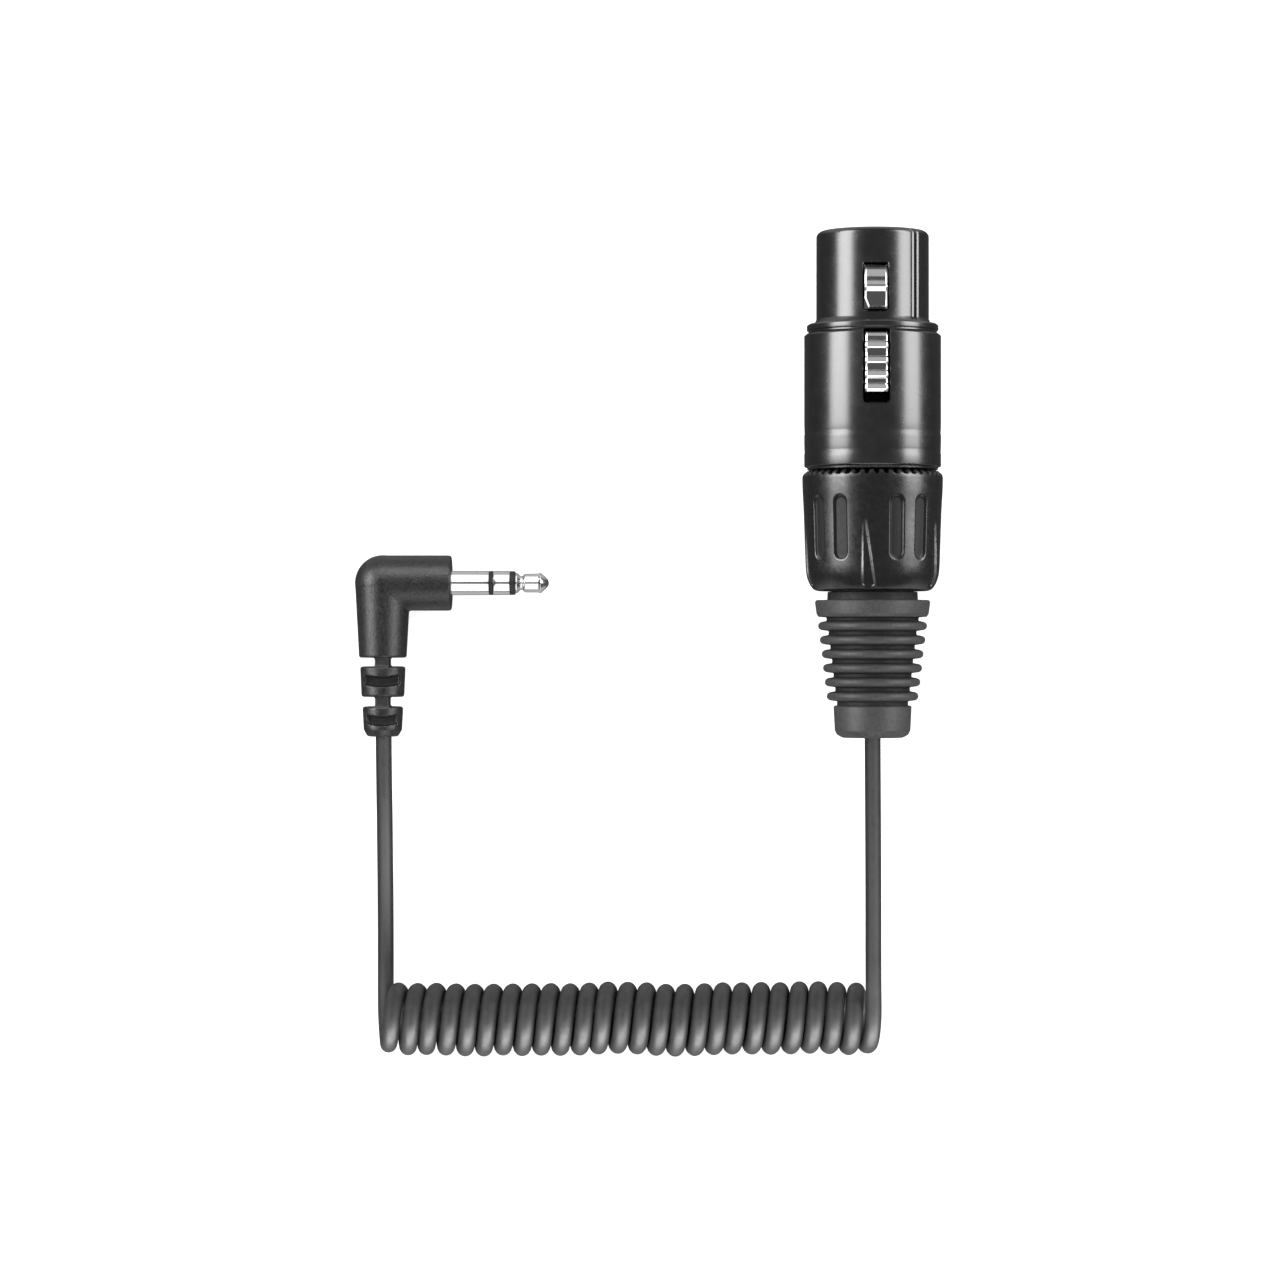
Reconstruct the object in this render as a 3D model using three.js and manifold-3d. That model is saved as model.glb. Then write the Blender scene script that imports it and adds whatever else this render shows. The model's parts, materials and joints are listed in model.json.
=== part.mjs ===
// Coiled audio cord: a three-contact female cable connector, a wound cord and a right-angle 3.5 mm three-pole jack.
// Millimetres, +Z up, lying on the plane z = 0. The large connector's axis runs along Y and mates towards +Y.
import * as THREE from "three";
import { mergeVertices } from "three/addons/utils/BufferGeometryUtils.js";
import Module from "manifold-3d";

// ---- driving dimensions ----
const XLR_X = 32, // axis of the large connector
  XLR_Z = 10,
  XLR_FRONT = 36, // Y of its mating rim
  XLR_LENGTH = 72, // rim to cord exit
  BARREL_R = 8, // 16 mm barrel
  BODY_R = 9.72,
  COLLAR_R = 10,
  BORE_R = 7.1, // barrel bore
  CHAMBER_R = 7.95, // body bore, and crest of the internal thread
  CONTACT_PCD_R = 4.1,
  CONTACT_ANGLES = [30, 150, 270], // seen from the cord side, measured from +X towards +Z
  PIN_HOLE_R = 1.2, // takes a 2.36 mm contact pin
  THREAD_PITCH = 1.5,
  LATCH_U = 24.8, // pivot, behind the rim
  LATCH_Z = 5.9, // pivot, above the connector's axis
  KEYWAY_DEG = 43.5,
  JACK_X = -38.1, // axis of the elbow's cord leg
  JACK_Y = -13.9, // axis of the elbow's plug leg
  JACK_Z = 4,
  JACK_R = 3.99,
  JACK_FACE_X = -28.2,
  PIN_R = 1.75, // 3.5 mm plug
  PIN_LENGTH = 14,
  JACK_END_Y = -36,
  CORD_R = 1.15,
  COIL_R = 5.22,
  COIL_Y = -76.55,
  COIL_Z = 5.25,
  COIL_X0 = -38.9,
  COIL_X1 = 33.7;

const wasm = await Module();
wasm.setup();
const rad = (deg) => (deg * Math.PI) / 180;

// ---- solids ----
// A three.js geometry as a closed solid, facing out.
function solid(geometry) {
  const g = (geometry.index ? geometry.toNonIndexed() : geometry).clone();
  g.deleteAttribute("normal");
  g.deleteAttribute("uv");
  const m = mergeVertices(g, 1e-4);
  const src = m.index.array,
    tri = [];
  for (let i = 0; i < src.length; i += 3)
    if (
      src[i] !== src[i + 1] &&
      src[i + 1] !== src[i + 2] &&
      src[i] !== src[i + 2]
    )
      tri.push(src[i], src[i + 1], src[i + 2]);
  const make = (t) =>
    new wasm.Manifold(
      new wasm.Mesh({
        numProp: 3,
        vertProperties: new Float32Array(m.attributes.position.array),
        triVerts: new Uint32Array(t),
      }),
    );
  const out = make(tri);
  if (out.volume() >= 0) return out;
  for (let i = 0; i < tri.length; i += 3)
    [tri[i + 1], tri[i + 2]] = [tri[i + 2], tri[i + 1]];
  return make(tri);
}
// Turned about Y from [radius, u] pairs, u being the distance behind the rim.
const turned = (points, segments = 40) =>
  solid(
    new THREE.LatheGeometry(
      points.map(([r, u]) => new THREE.Vector2(r, -u)),
      segments,
    ),
  );
// A closed ring profile: outer line front to back, inner line back to front.
const ring = (outer, inner, segments) =>
  turned([...outer, ...inner, outer[0]], segments);
function block(x0, x1, y0, y1, z0, z1) {
  const g = new THREE.BoxGeometry(x1 - x0, y1 - y0, z1 - z0);
  g.translate((x0 + x1) / 2, (y0 + y1) / 2, (z0 + z1) / 2);
  return solid(g);
}
// A round bar along an axis: "x", "y" or "z".
function bar(axis, r0, r1, from, to, a, b, segments = 24) {
  const g = new THREE.CylinderGeometry(r1, r0, to - from, segments);
  if (axis === "x") g.rotateZ(-Math.PI / 2);
  if (axis === "z") g.rotateX(Math.PI / 2);
  const mid = (from + to) / 2;
  if (axis === "x") g.translate(mid, a, b);
  if (axis === "y") g.translate(a, mid, b);
  if (axis === "z") g.translate(a, b, mid);
  return solid(g);
}
// A side profile in the y-z plane, as wide as x0 to x1.
function plate(points, x0, x1) {
  const s = new THREE.Shape(points.map(([y, z]) => new THREE.Vector2(y, z)));
  const g = new THREE.ExtrudeGeometry(s, {
    depth: x1 - x0,
    bevelEnabled: false,
  });
  g.applyMatrix4(
    new THREE.Matrix4().set(0, 0, 1, x0, 1, 0, 0, 0, 0, 1, 0, 0, 0, 0, 0, 1),
  );
  return solid(g);
}
// A round tube along a smooth curve.
function tube(points, r, sides, steps) {
  const curve = new THREE.CatmullRomCurve3(
    points.map((p) => new THREE.Vector3(...p)),
  );
  const s = new THREE.Shape();
  for (let i = 0; i < sides; i++) {
    const a = (i / sides) * Math.PI * 2;
    i
      ? s.lineTo(r * Math.cos(a), r * Math.sin(a))
      : s.moveTo(r * Math.cos(a), r * Math.sin(a));
  }
  s.closePath();
  return solid(
    new THREE.ExtrudeGeometry(s, {
      steps,
      extrudePath: curve,
      bevelEnabled: false,
      curveSegments: 1,
    }),
  );
}
// A helical ridge about Y, right-handed, from u0 on; profile is [radius, half width] inside and outside.
function ridge(u0, turns, inner, outer, perTurn = 16) {
  const n = Math.round(turns * perTurn),
    pos = [];
  const ringAt = (i) => {
    const a = (i / perTurn) * 2 * Math.PI,
      u = u0 + (THREAD_PITCH * i) / perTurn;
    return [
      [inner[0], u - inner[1]],
      [outer[0], u - outer[1]],
      [outer[0], u + outer[1]],
      [inner[0], u + inner[1]],
    ].map(([r, v]) => [-r * Math.sin(a), -v, r * Math.cos(a)]);
  };
  const quad = (a, b, c, d) => pos.push(...a, ...b, ...c, ...a, ...c, ...d);
  for (let i = 0; i < n; i++) {
    const p = ringAt(i),
      q = ringAt(i + 1);
    for (let k = 0; k < 4; k++)
      quad(p[k], p[(k + 1) % 4], q[(k + 1) % 4], q[k]);
  }
  const s = ringAt(0),
    e = ringAt(n);
  quad(s[3], s[2], s[1], s[0]);
  quad(e[0], e[1], e[2], e[3]);
  return solid(
    new THREE.BufferGeometry().setAttribute(
      "position",
      new THREE.BufferAttribute(new Float32Array(pos), 3),
    ),
  );
}
// Turn a solid about Y by an angle measured from +Z towards +X.
const about = (s, deg) => s.rotate([0, deg, 0]);

// ---- materials ----
const BLACK_METAL = [0x131316, 0.22, 0.85],
  SATIN_METAL = [0x17171a, 0.45, 0.75],
  CHROME = [0xd8dade, 0.12, 1],
  STEEL = [0xa8abb0, 0.3, 1],
  GOLDISH = [0xc8a96a, 0.3, 1],
  NICKEL = [0xcfd0d2, 0.16, 1],
  BLACK_PLASTIC = [0x121212, 0.55, 0],
  RUBBER = [0x2c2c2d, 0.75, 0],
  MOULD = [0x1d1d1e, 0.6, 0],
  CORD = [0x262627, 0.5, 0],
  SOLDER = [0xb6b8ba, 0.35, 1];

const group = new THREE.Group();
group.name = "coiled_cord";
const xlr = new THREE.Group();
xlr.name = "cable_connector";
xlr.position.set(XLR_X, XLR_FRONT, XLR_Z);
const jack = new THREE.Group();
jack.name = "angled_jack";
const cord = new THREE.Group();
cord.name = "cord";
group.add(xlr, jack, cord);

function add(parent, name, s, [color, roughness, metalness]) {
  const m = s.getMesh(),
    n = m.numProp,
    v = new Float32Array(m.numVert * 3);
  for (let i = 0; i < m.numVert; i++)
    v.set(m.vertProperties.subarray(i * n, i * n + 3), i * 3);
  const g = new THREE.BufferGeometry();
  g.setAttribute("position", new THREE.BufferAttribute(v, 3));
  g.setIndex(new THREE.BufferAttribute(m.triVerts, 1));
  const flat = g.toNonIndexed();
  flat.computeVertexNormals();
  const mesh = new THREE.Mesh(
    flat,
    new THREE.MeshStandardMaterial({
      color,
      roughness,
      metalness,
      flatShading: true,
    }),
  );
  mesh.name = name;
  parent.add(mesh);
}

// ================= large connector (local frame: rim at y = 0, y = -u) =================

// Shell: barrel, shoulder, ring and body in one casting.
let shell = ring(
  [
    [7.35, 0],
    [7.78, 0.22],
    [BARREL_R, 0.75],
    [BARREL_R, 12.5],
    [8.3, 13.1],
    [9.1, 13.25],
    [9.35, 13.45],
    [9.35, 14.05],
    [9.15, 14.2],
    [9.15, 14.45],
    [BODY_R, 14.95],
    [BODY_R, 26.5],
    [9.62, 28.45], // two shallow steps near the end
    [BODY_R, 28.62],
    [BODY_R, 29.2],
    [9.62, 31.2],
    [BODY_R, 31.38],
    [BODY_R, 33.4],
    [9.3, 33.6],
    [9.3, 33.9],
  ],
  [
    [CHAMBER_R, 33.9],
    [CHAMBER_R, 14.9],
    [BORE_R, 14.9],
    [BORE_R, 0.25],
  ],
);
shell = shell
  .subtract(block(-1.75, 1.75, -11.8, -5.05, 5, 12)) // hook window
  .subtract(block(-1.85, 1.85, -24.8, -14.45, 5, 12)) // push-tab slot
  .subtract(about(block(-0.72, 0.72, -12.9, 1, 7.5, 9), KEYWAY_DEG)) // keyway
  .subtract(ridge(27, 5.125, [7.6, 0.7], [8.65, 0.25])); // internal thread
add(xlr, "xlr_shell", shell, BLACK_METAL);

// Insulator.
let insert = turned(
  [
    [0, 0.4],
    [6.7, 0.4],
    [7.0, 0.7],
    [7.0, 14.7],
    [7.0, 15.05],
    [7.85, 15.05],
    [7.85, 26.8],
    [0, 26.8],
  ],
  40,
);
insert = insert.subtract(block(-1.95, 1.95, -28, -3.8, 4.1, 9)); // lever channel
insert = insert.subtract(bar("z", 1.4, 1.4, 1.5, 5, 0, -18, 16)); // spring pocket
insert = insert.subtract(
  bar("x", 0.62, 0.62, -3.1, 3.1, -LATCH_U, LATCH_Z, 16),
); // pivot seat
for (const side of [-1, 1])
  insert = insert.subtract(
    side > 0
      ? block(6.05, 8, -27, -24.9, -1.35, 1.35)
      : block(-8, -6.05, -27, -24.9, -1.35, 1.35),
  ); // chuck keys
const at = (deg) => [
  CONTACT_PCD_R * Math.cos(rad(deg)),
  CONTACT_PCD_R * Math.sin(rad(deg)),
];
for (const deg of CONTACT_ANGLES) {
  const [x, z] = at(deg);
  insert = insert
    .subtract(bar("y", 1.3, 1.3, -1.5, 0, x, z, 20))
    .subtract(bar("y", 1.66, 1.66, -28, -1.4, x, z, 20));
}
// groove for the ground strip, along the underside between the lower contact and one side
insert = insert.subtract(block(-6.5, -3.2, -24.2, -15.8, -8, -5.35));
add(xlr, "xlr_insert", insert, BLACK_PLASTIC);

// Contacts: split sockets with solder cups, the solder in the cups and the wires.
const CABLE_END_U = 33.5;
CONTACT_ANGLES.forEach((deg, i) => {
  const [x, z] = at(deg);
  let c = ring(
    [
      [1.45, 1.7],
      [1.6, 1.9],
      [1.6, 20],
      [1.35, 20.4],
      [1.35, 30],
    ],
    [
      [0.95, 30],
      [0.95, 27.4],
      [0, 27.4],
      [0, 13.5],
      [PIN_HOLE_R, 13.5],
      [PIN_HOLE_R, 1.7],
    ],
    20,
  );
  c = c.subtract(block(-0.2, 0.2, -9, -1, -2, 2));
  add(xlr, "xlr_contact_" + (i + 1), c.translate([x, 0, z]), GOLDISH);
  add(
    xlr,
    "xlr_solder_" + (i + 1),
    turned(
      [
        [0, 27.45],
        [0.9, 27.45],
        [0.9, 29.6],
        [0.5, 29.95],
        [0, 29.95],
      ],
      12,
    ).translate([x, 0, z]),
    SOLDER,
  );
  const k = (r) => [r * Math.cos(rad(deg)), r * Math.sin(rad(deg))];
  const p = [
    [30.0, 4.1],
    [30.6, 4.05],
    [31.5, 3.3],
    [32.3, 1.7],
    [32.9, 0.75],
    [CABLE_END_U - 0.05, 0.6],
  ].map(([u, r]) => [k(r)[0], -u, k(r)[1]]);
  add(
    xlr,
    "xlr_wire_" + (i + 1),
    tube(p, 0.34, 6, 12),
    [
      [0xb8b8b8, 0.4, 0.9],
      [0xb02020, 0.5, 0],
      [0xe8e8e6, 0.5, 0],
    ][i],
  );
});
add(
  xlr,
  "xlr_cable_end",
  bar("y", CORD_R, CORD_R, -XLR_LENGTH, -CABLE_END_U, 0, 0, 20),
  CORD,
);

// Ground strip: a bowed spring leaf in the insulator's groove, touching the shell.
add(
  xlr,
  "xlr_ground_clip",
  plate(
    [
      [-24.0, -5.9],
      [-20.0, -6.2],
      [-16.0, -5.9],
      [-16.0, -5.55],
      [-20.0, -5.85],
      [-24.0, -5.55],
    ],
    -4.6,
    -3.4,
  ),
  GOLDISH,
);

// Latch: lever with hook and ribbed push tab, its pin and its spring.
let lever = plate(
  [
    [-LATCH_U - 0.2, 5.0],
    [-LATCH_U - 1.0, 5.5],
    [-LATCH_U - 1.0, 6.3],
    [-LATCH_U - 0.2, 6.9],
    [-22.98, 6.9],
    [-22.98, 9.55],
    [-22.8, 9.7],
    [-22.62, 9.93], // fourth step
    [-22.48, 9.96],
    [-22., 9.82],
    [-21.74, 9.56],
    [-20.95, 9.56],
    [-20.83, 9.7],
    [-20.65, 9.93], // third
    [-20.51, 9.96],
    [-20.03, 9.82],
    [-19.77, 9.56],
    [-18.98, 9.56],
    [-18.86, 9.7],
    [-18.68, 9.93], // second
    [-18.54, 9.96],
    [-18.06, 9.82],
    [-17.8, 9.56],
    [-17.01, 9.56],
    [-16.89, 9.7],
    [-16.71, 9.93], // first
    [-16.57, 9.96],
    [-16.09, 9.82],
    [-15.83, 9.56],
    [-15.35, 9.56],
    [-14.85, 9.3],
    [-14.75, 9.0],
    [-14.75, 6.4],
    [-11.62, 6.4],
    [-11.62, 7.95],
    [-11.34, 8.24],
    [-9.42, 8.26],
    [-9.36, 8.3],
    [-8.94, 8.62],
    [-8.8, 8.68], // hook peak
    [-8.62, 8.68],
    [-8.46, 8.3],
    [-7.35, 8.28],
    [-6.55, 8.1],
    [-6.05, 7.88],
    [-5.6, 7.6],
    [-5.35, 7.3],
    [-5.35, 5.5],
    [-14.4, 5.4],
    [-22.6, 5.4],
  ],
  -1.64,
  1.64,
);
lever = lever.subtract(bar("x", 0.66, 0.66, -3, 3, -LATCH_U, LATCH_Z, 16));
add(xlr, "latch_lever", lever, CHROME);
add(
  xlr,
  "latch_pivot_pin",
  bar("x", 0.6, 0.6, -3, 3, -LATCH_U, LATCH_Z, 16),
  STEEL,
);
{
  const p = [],
    turns = 4,
    z0 = 1.75,
    z1 = 5.15;
  for (let i = 0; i <= turns * 10; i++) {
    const a = (i / 10) * 2 * Math.PI;
    p.push([
      0.95 * Math.cos(a),
      -18 + 0.95 * Math.sin(a),
      z0 + ((z1 - z0) * i) / (turns * 10),
    ]);
  }
  add(xlr, "latch_spring", tube(p, 0.17, 5, turns * 12), STEEL);
}

// Cable chuck: flange with a wide mouth, two keys, four clamping fingers.
let chuck = ring(
  [
    [6.9, 33],
    [6.9, 36.5],
    [5.0, 43.5],
    [4.6, 44.5],
  ],
  [
    [1.32, 44.5],
    [1.32, 36.2],
    [5.4, 33],
  ],
  36,
);
chuck = chuck
  .add(
    block(6.15, 6.9, -33.4, -25.2, -1.2, 1.2).intersect(
      bar("y", 6.98, 6.98, -34, -25, 0, 0, 36),
    ),
  )
  .add(
    block(-6.9, -6.15, -33.4, -25.2, -1.2, 1.2).intersect(
      bar("y", 6.98, 6.98, -34, -25, 0, 0, 36),
    ),
  )
  .subtract(about(block(-0.4, 0.4, -46, -37.5, -9, 9), 45))
  .subtract(about(block(-0.4, 0.4, -46, -37.5, -9, 9), -45));
add(xlr, "cable_chuck", chuck, [0xd9d9d4, 0.5, 0]);

// Collar: threaded nose, toothed front edge, fluted skirt.
let collar = ring(
  [
    [7.55, 27.8],
    [7.72, 28.0],
    [7.72, 34.1],
    [9.4, 34.1],
    [9.82, 34.5],
    [COLLAR_R, 34.9],
    [9.96, 36.8],
    [9.79, 39.9],
    [9.65, 44.4],
    [9.52, 47.8],
    [9.4, 49.0],
    [9.05, 49.9],
    [8.6, 50.7],
    [8.05, 51.1],
  ],
  [
    [6.0, 51.15],
    [6.0, 48.6],
    [6.8, 48.6],
    [6.8, 45.2],
    [5.3, 44.0],
    [7.1, 37.1],
    [7.1, 27.8],
  ],
);
collar = collar.add(ridge(28.5, 3.1875, [7.5, 0.537], [8.35, 0.17]));
const TEETH = 44,
  SLOT_OFFSET = 24.3,
  TAIL_START = -6.9;
for (let i = 0; i < TEETH; i++)
  collar = collar.subtract(
    about(block(-0.26, 0.26, -34.6, -34, 9.35, 10.2), (360 / TEETH) * i),
  );
for (let i = 0; i < 5; i++) {
  const tail = TAIL_START + 72 * i;
  // pointed flute, deepening and widening towards the cord
  const flute = bar("y", 1.1, 1.1, -5.6, 5.6, 0, 0, 12)
    .rotate([9.5, 0, 0])
    .translate([0, -45.9, 10.05]);
  collar = collar.subtract(about(flute, tail));
  for (const d of [-SLOT_OFFSET, SLOT_OFFSET]) {
    const s = new THREE.Shape();
    s.moveTo(-1.05, -38.2);
    s.absarc(0, -38.2, 1.05, Math.PI, 0, true);
    s.lineTo(1.05, -45.9);
    s.absarc(0, -45.9, 1.05, 0, -Math.PI, true);
    const e = new THREE.ExtrudeGeometry(s, {
      depth: 2,
      bevelEnabled: false,
      curveSegments: 4,
    });
    e.translate(0, 0, 9.2);
    collar = collar.subtract(about(solid(e), tail + d));
  }
}
add(xlr, "collar_nut", collar, SATIN_METAL);

// Rubber boot: lip held in the collar, neck, flange, six ribs, end cap.
const ribs = [
    [56.1, 7.74],
    [58.1, 7.49],
    [60.1, 7.23],
    [62.1, 7.04],
    [64.1, 6.79],
    [66.1, 6.51],
  ],
  valleys = [6.65, 6.33, 6.1, 5.82, 5.63, 5.37, 5.12];
const bootOuter = [
  [6.6, 45.5],
  [6.6, 48.4],
  [5.85, 48.4],
  [5.85, 51.25],
  [6.4, 51.25],
  [6.45, 52.4],
  [8.1, 52.4],
  [8.2, 52.7],
  [7.95, 54.5],
  [7.75, 54.8],
  [valleys[0], 54.85],
];
ribs.forEach(([u, r], i) =>
  bootOuter.push(
    [valleys[i] - 0.02, u - 0.66],
    [r, u - 0.46],
    [r, u + 0.46],
    [valleys[i + 1], u + 0.66],
  ),
);
bootOuter.push([5.12, 67.4], [5.55, 67.55], [5.38, 71.0], [4.9, 71.7], [4.2, XLR_LENGTH]);
add(
  xlr,
  "rubber_boot",
  ring(
    bootOuter,
    [
      [1.42, XLR_LENGTH],
      [1.42, 56],
      [5.0, 45.5],
    ],
    32,
  ),
  RUBBER,
);

// ================= angled jack =================
// Elbow body with the notched strain relief.
const legEnd = -24.65;
let body = bar("x", JACK_R, JACK_R, JACK_X, JACK_FACE_X - 0.3, JACK_Y, JACK_Z, 32)
  .add(
    bar("x", JACK_R, JACK_R - 0.3, JACK_FACE_X - 0.3, JACK_FACE_X, JACK_Y, JACK_Z, 32),
  )
  .add(
    solid(
      new THREE.SphereGeometry(JACK_R, 32, 16)
        .rotateX(Math.PI / 2)
        .translate(JACK_X, JACK_Y, JACK_Z),
    ),
  )
  .add(bar("y", 3.42, JACK_R, legEnd, JACK_Y, JACK_X, JACK_Z, 32));
// relief: one tapered bar, cut from the sides and from the faces in turn
let relief = bar("y", 2.7, 3.3, JACK_END_Y + 0.5, legEnd + 0.5, JACK_X, JACK_Z, 24).add(
  bar("y", 2.3, 2.7, JACK_END_Y, JACK_END_Y + 0.5, JACK_X, JACK_Z, 24),
);
const WEB = 1.15;
for (const [y0, y1] of [
  [-25.89, -24.65],
  [-31.65, -30.28],
])
  relief = relief
    .subtract(block(JACK_X - 5, JACK_X - WEB, y0, y1, -1, 9))
    .subtract(block(JACK_X + WEB, JACK_X + 5, y0, y1, -1, 9));
for (const [y0, y1, w] of [
  [-28.6, -27.15, 2.45],
  [-34.2, -32.9, 2.15],
])
  relief = relief
    .subtract(block(JACK_X - w, JACK_X + w, y0, y1, JACK_Z + WEB, 9))
    .subtract(block(JACK_X - w, JACK_X + w, y0, y1, -1, JACK_Z - WEB));
body = body
  .add(relief)
  .subtract(bar("x", 2.75, 2.75, -39.6, -28.7, JACK_Y, JACK_Z, 24)) // cavity
  .subtract(bar("x", 1.8, 1.8, -29, -28, JACK_Y, JACK_Z, 24)) // plug exit
  .subtract(bar("y", 0.88, 0.88, -37, -16, JACK_X, JACK_Z, 16)) // cable bore
  .subtract(bar("y", 0.88, 1.5, -18, -15.5, JACK_X, JACK_Z, 16));
add(jack, "jack_plug_body", body, MOULD);

// Plug: [distance from the elbow's face along +X, radius] turned about the plug's axis.
function pin(points, segments = 24) {
  const g = new THREE.LatheGeometry(
    points.map(([x, r]) => new THREE.Vector2(r, x)),
    segments,
  );
  g.rotateZ(-Math.PI / 2);
  g.translate(JACK_FACE_X, JACK_Y, JACK_Z);
  return solid(g);
}
add(
  jack,
  "jack_sleeve",
  pin([
    [-2.4, 1.26],
    [-2.4, 1.75],
    [-1.4, 1.75],
    [-1.4, 2.6],
    [-0.6, 2.6],
    [-0.6, PIN_R],
    [5.38, PIN_R],
    [5.38, 1.26],
    [-2.4, 1.26],
  ]),
  NICKEL,
);
add(
  jack,
  "jack_insulator_rear",
  pin([
    [-3.4, 1.0],
    [-3.4, 1.2],
    [5.42, 1.2],
    [5.42, PIN_R - 0.01],
    [5.98, PIN_R - 0.01],
    [5.98, 1.0],
    [-3.4, 1.0],
  ]),
  BLACK_PLASTIC,
);
add(
  jack,
  "jack_ring_contact",
  pin([
    [-4.4, 0.77],
    [-4.4, 0.95],
    [6.02, 0.95],
    [6.02, PIN_R],
    [8.38, PIN_R],
    [8.38, 0.77],
    [-4.4, 0.77],
  ]),
  NICKEL,
);
add(
  jack,
  "jack_insulator_front",
  pin([
    [-5.0, 0.55],
    [-5.0, 0.72],
    [8.42, 0.72],
    [8.42, PIN_R - 0.01],
    [9.18, PIN_R - 0.03],
    [9.18, 0.55],
    [-5.0, 0.55],
  ]),
  BLACK_PLASTIC,
);
add(
  jack,
  "jack_tip_contact",
  pin([
    [-6.0, 0],
    [-6.0, 0.5],
    [9.22, 0.5],
    [9.22, 1.5],
    [9.5, 1.42],
    [9.95, 1.05], // waist
    [10.25, 1.05],
    [10.5, 1.3],
    [12.6, 1.32],
    [12.9, 1.42],
    [PIN_LENGTH - 0.35, 0.65],
    [PIN_LENGTH - 0.1, 0.35],
    [PIN_LENGTH, 0],
  ]),
  NICKEL,
);
// Solder lugs on the rear of each pole, and their wires down to the cable's end.
function lug(name, x, hole) {
  const px = JACK_FACE_X + x;
  const s = bar("x", hole + 0.75, hole + 0.75, px - 0.15, px + 0.15, JACK_Y, JACK_Z, 20)
    .add(block(px - 0.15, px + 0.15, JACK_Y - 2.1, JACK_Y, JACK_Z - 0.45, JACK_Z + 0.45))
    .subtract(bar("x", hole, hole, px - 1, px + 1, JACK_Y, JACK_Z, 20));
  add(jack, name, s, GOLDISH);
}
lug("jack_lug_sleeve", -2.9, 1.24);
lug("jack_lug_ring", -4.0, 0.99);
lug("jack_lug_tip", -5.6, 0.54);
// Hard cup round the terminals, open at the plug's side and towards the cable.
let cup = bar("x", 2.65, 2.65, -39.5, JACK_FACE_X - 2.6, JACK_Y, JACK_Z, 24)
  .subtract(bar("x", 2.3, 2.3, -39.0, -30, JACK_Y, JACK_Z, 24))
  .subtract(bar("y", 1.3, 1.3, -18, JACK_Y, JACK_X, JACK_Z, 16));
add(jack, "jack_inner_mould", cup, [0xe4e2da, 0.5, 0]);
const CORE_Y = -17.2;
add(
  jack,
  "jack_cable_end",
  bar("y", 0.85, 0.85, JACK_END_Y, CORE_Y, JACK_X, JACK_Z, 16),
  CORD,
);
[
  ["jack_wire_tip", -5.6, [-0.42, 0.1], -0.05, 0xe8e8e6],
  ["jack_wire_ring", -4.0, [0.2, 0.45], 1.2, 0xb02020],
  ["jack_wire_sleeve", -2.9, [0.2, -0.45], -1.2, 0xb87040],
].forEach(([name, x, [ex, ez], lane, color], i) => {
  const px = JACK_FACE_X + x;
  const pts = [
    [px - 0.42, JACK_Y - 1.75, JACK_Z + [0.2, 0, -0.2][i]],
    [px - 0.75, JACK_Y - 1.8, JACK_Z + lane * 0.6],
    [(px - 0.75 + JACK_X) / 2, JACK_Y - 1.72, JACK_Z + lane],
    [JACK_X + 0.55 + ex * 0.5, JACK_Y - 1.78, JACK_Z + (lane + ez) / 2],
    [JACK_X + ex, JACK_Y - 2.5, JACK_Z + ez],
    [JACK_X + ex, CORE_Y + 0.04, JACK_Z + ez],
  ];
  add(jack, name, tube(pts, 0.2, 6, 14), [color, 0.5, 0]);
});

// ================= cord =================
add(
  cord,
  "lead_jack",
  tube(
    [
      [JACK_X, JACK_END_Y - 0.3, JACK_Z],
      [JACK_X, -44, JACK_Z - 0.1],
      [JACK_X + 0.05, -54, 2.9],
      [JACK_X + 0.12, -63, 1.8],
      [JACK_X + 0.2, -71.4, 1.45],
    ],
    CORD_R,
    8,
    14,
  ),
  CORD,
);
add(
  cord,
  "cord_coil",
  bar("x", COIL_R, COIL_R, COIL_X0, COIL_X1, COIL_Y, COIL_Z, 16),
  CORD,
);
add(
  cord,
  "lead_xlr",
  tube(
    [
      [XLR_X, XLR_FRONT - XLR_LENGTH - 0.3, XLR_Z],
      [XLR_X, -50, XLR_Z],
      [XLR_X + 0.1, -60, 9.75],
      [XLR_X + 0.24, -71.3, 9.3],
    ],
    CORD_R,
    8,
    14,
  ),
  CORD,
);

export default group;
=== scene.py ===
import json
import math

import bmesh
import bpy
from mathutils import Matrix, Vector, noise

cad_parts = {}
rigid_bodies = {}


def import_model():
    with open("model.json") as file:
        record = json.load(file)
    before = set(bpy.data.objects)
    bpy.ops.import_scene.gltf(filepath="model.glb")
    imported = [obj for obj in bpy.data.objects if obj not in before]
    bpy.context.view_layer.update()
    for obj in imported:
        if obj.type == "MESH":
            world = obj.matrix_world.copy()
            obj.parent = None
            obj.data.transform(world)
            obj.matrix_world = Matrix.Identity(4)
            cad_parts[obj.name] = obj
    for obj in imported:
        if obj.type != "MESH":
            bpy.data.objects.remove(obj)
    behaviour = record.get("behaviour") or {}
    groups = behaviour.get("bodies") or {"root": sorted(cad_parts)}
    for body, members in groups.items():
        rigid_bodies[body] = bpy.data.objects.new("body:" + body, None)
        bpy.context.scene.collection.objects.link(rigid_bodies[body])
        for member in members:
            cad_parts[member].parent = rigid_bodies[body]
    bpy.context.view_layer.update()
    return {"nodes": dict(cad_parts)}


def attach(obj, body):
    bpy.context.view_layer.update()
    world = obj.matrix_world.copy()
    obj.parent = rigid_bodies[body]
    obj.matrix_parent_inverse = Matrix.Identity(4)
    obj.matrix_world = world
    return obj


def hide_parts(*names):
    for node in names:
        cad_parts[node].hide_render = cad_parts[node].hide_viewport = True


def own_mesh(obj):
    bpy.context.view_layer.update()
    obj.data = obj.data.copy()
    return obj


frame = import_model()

MM = 0.001
scene = bpy.context.scene
coll = scene.collection

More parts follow.
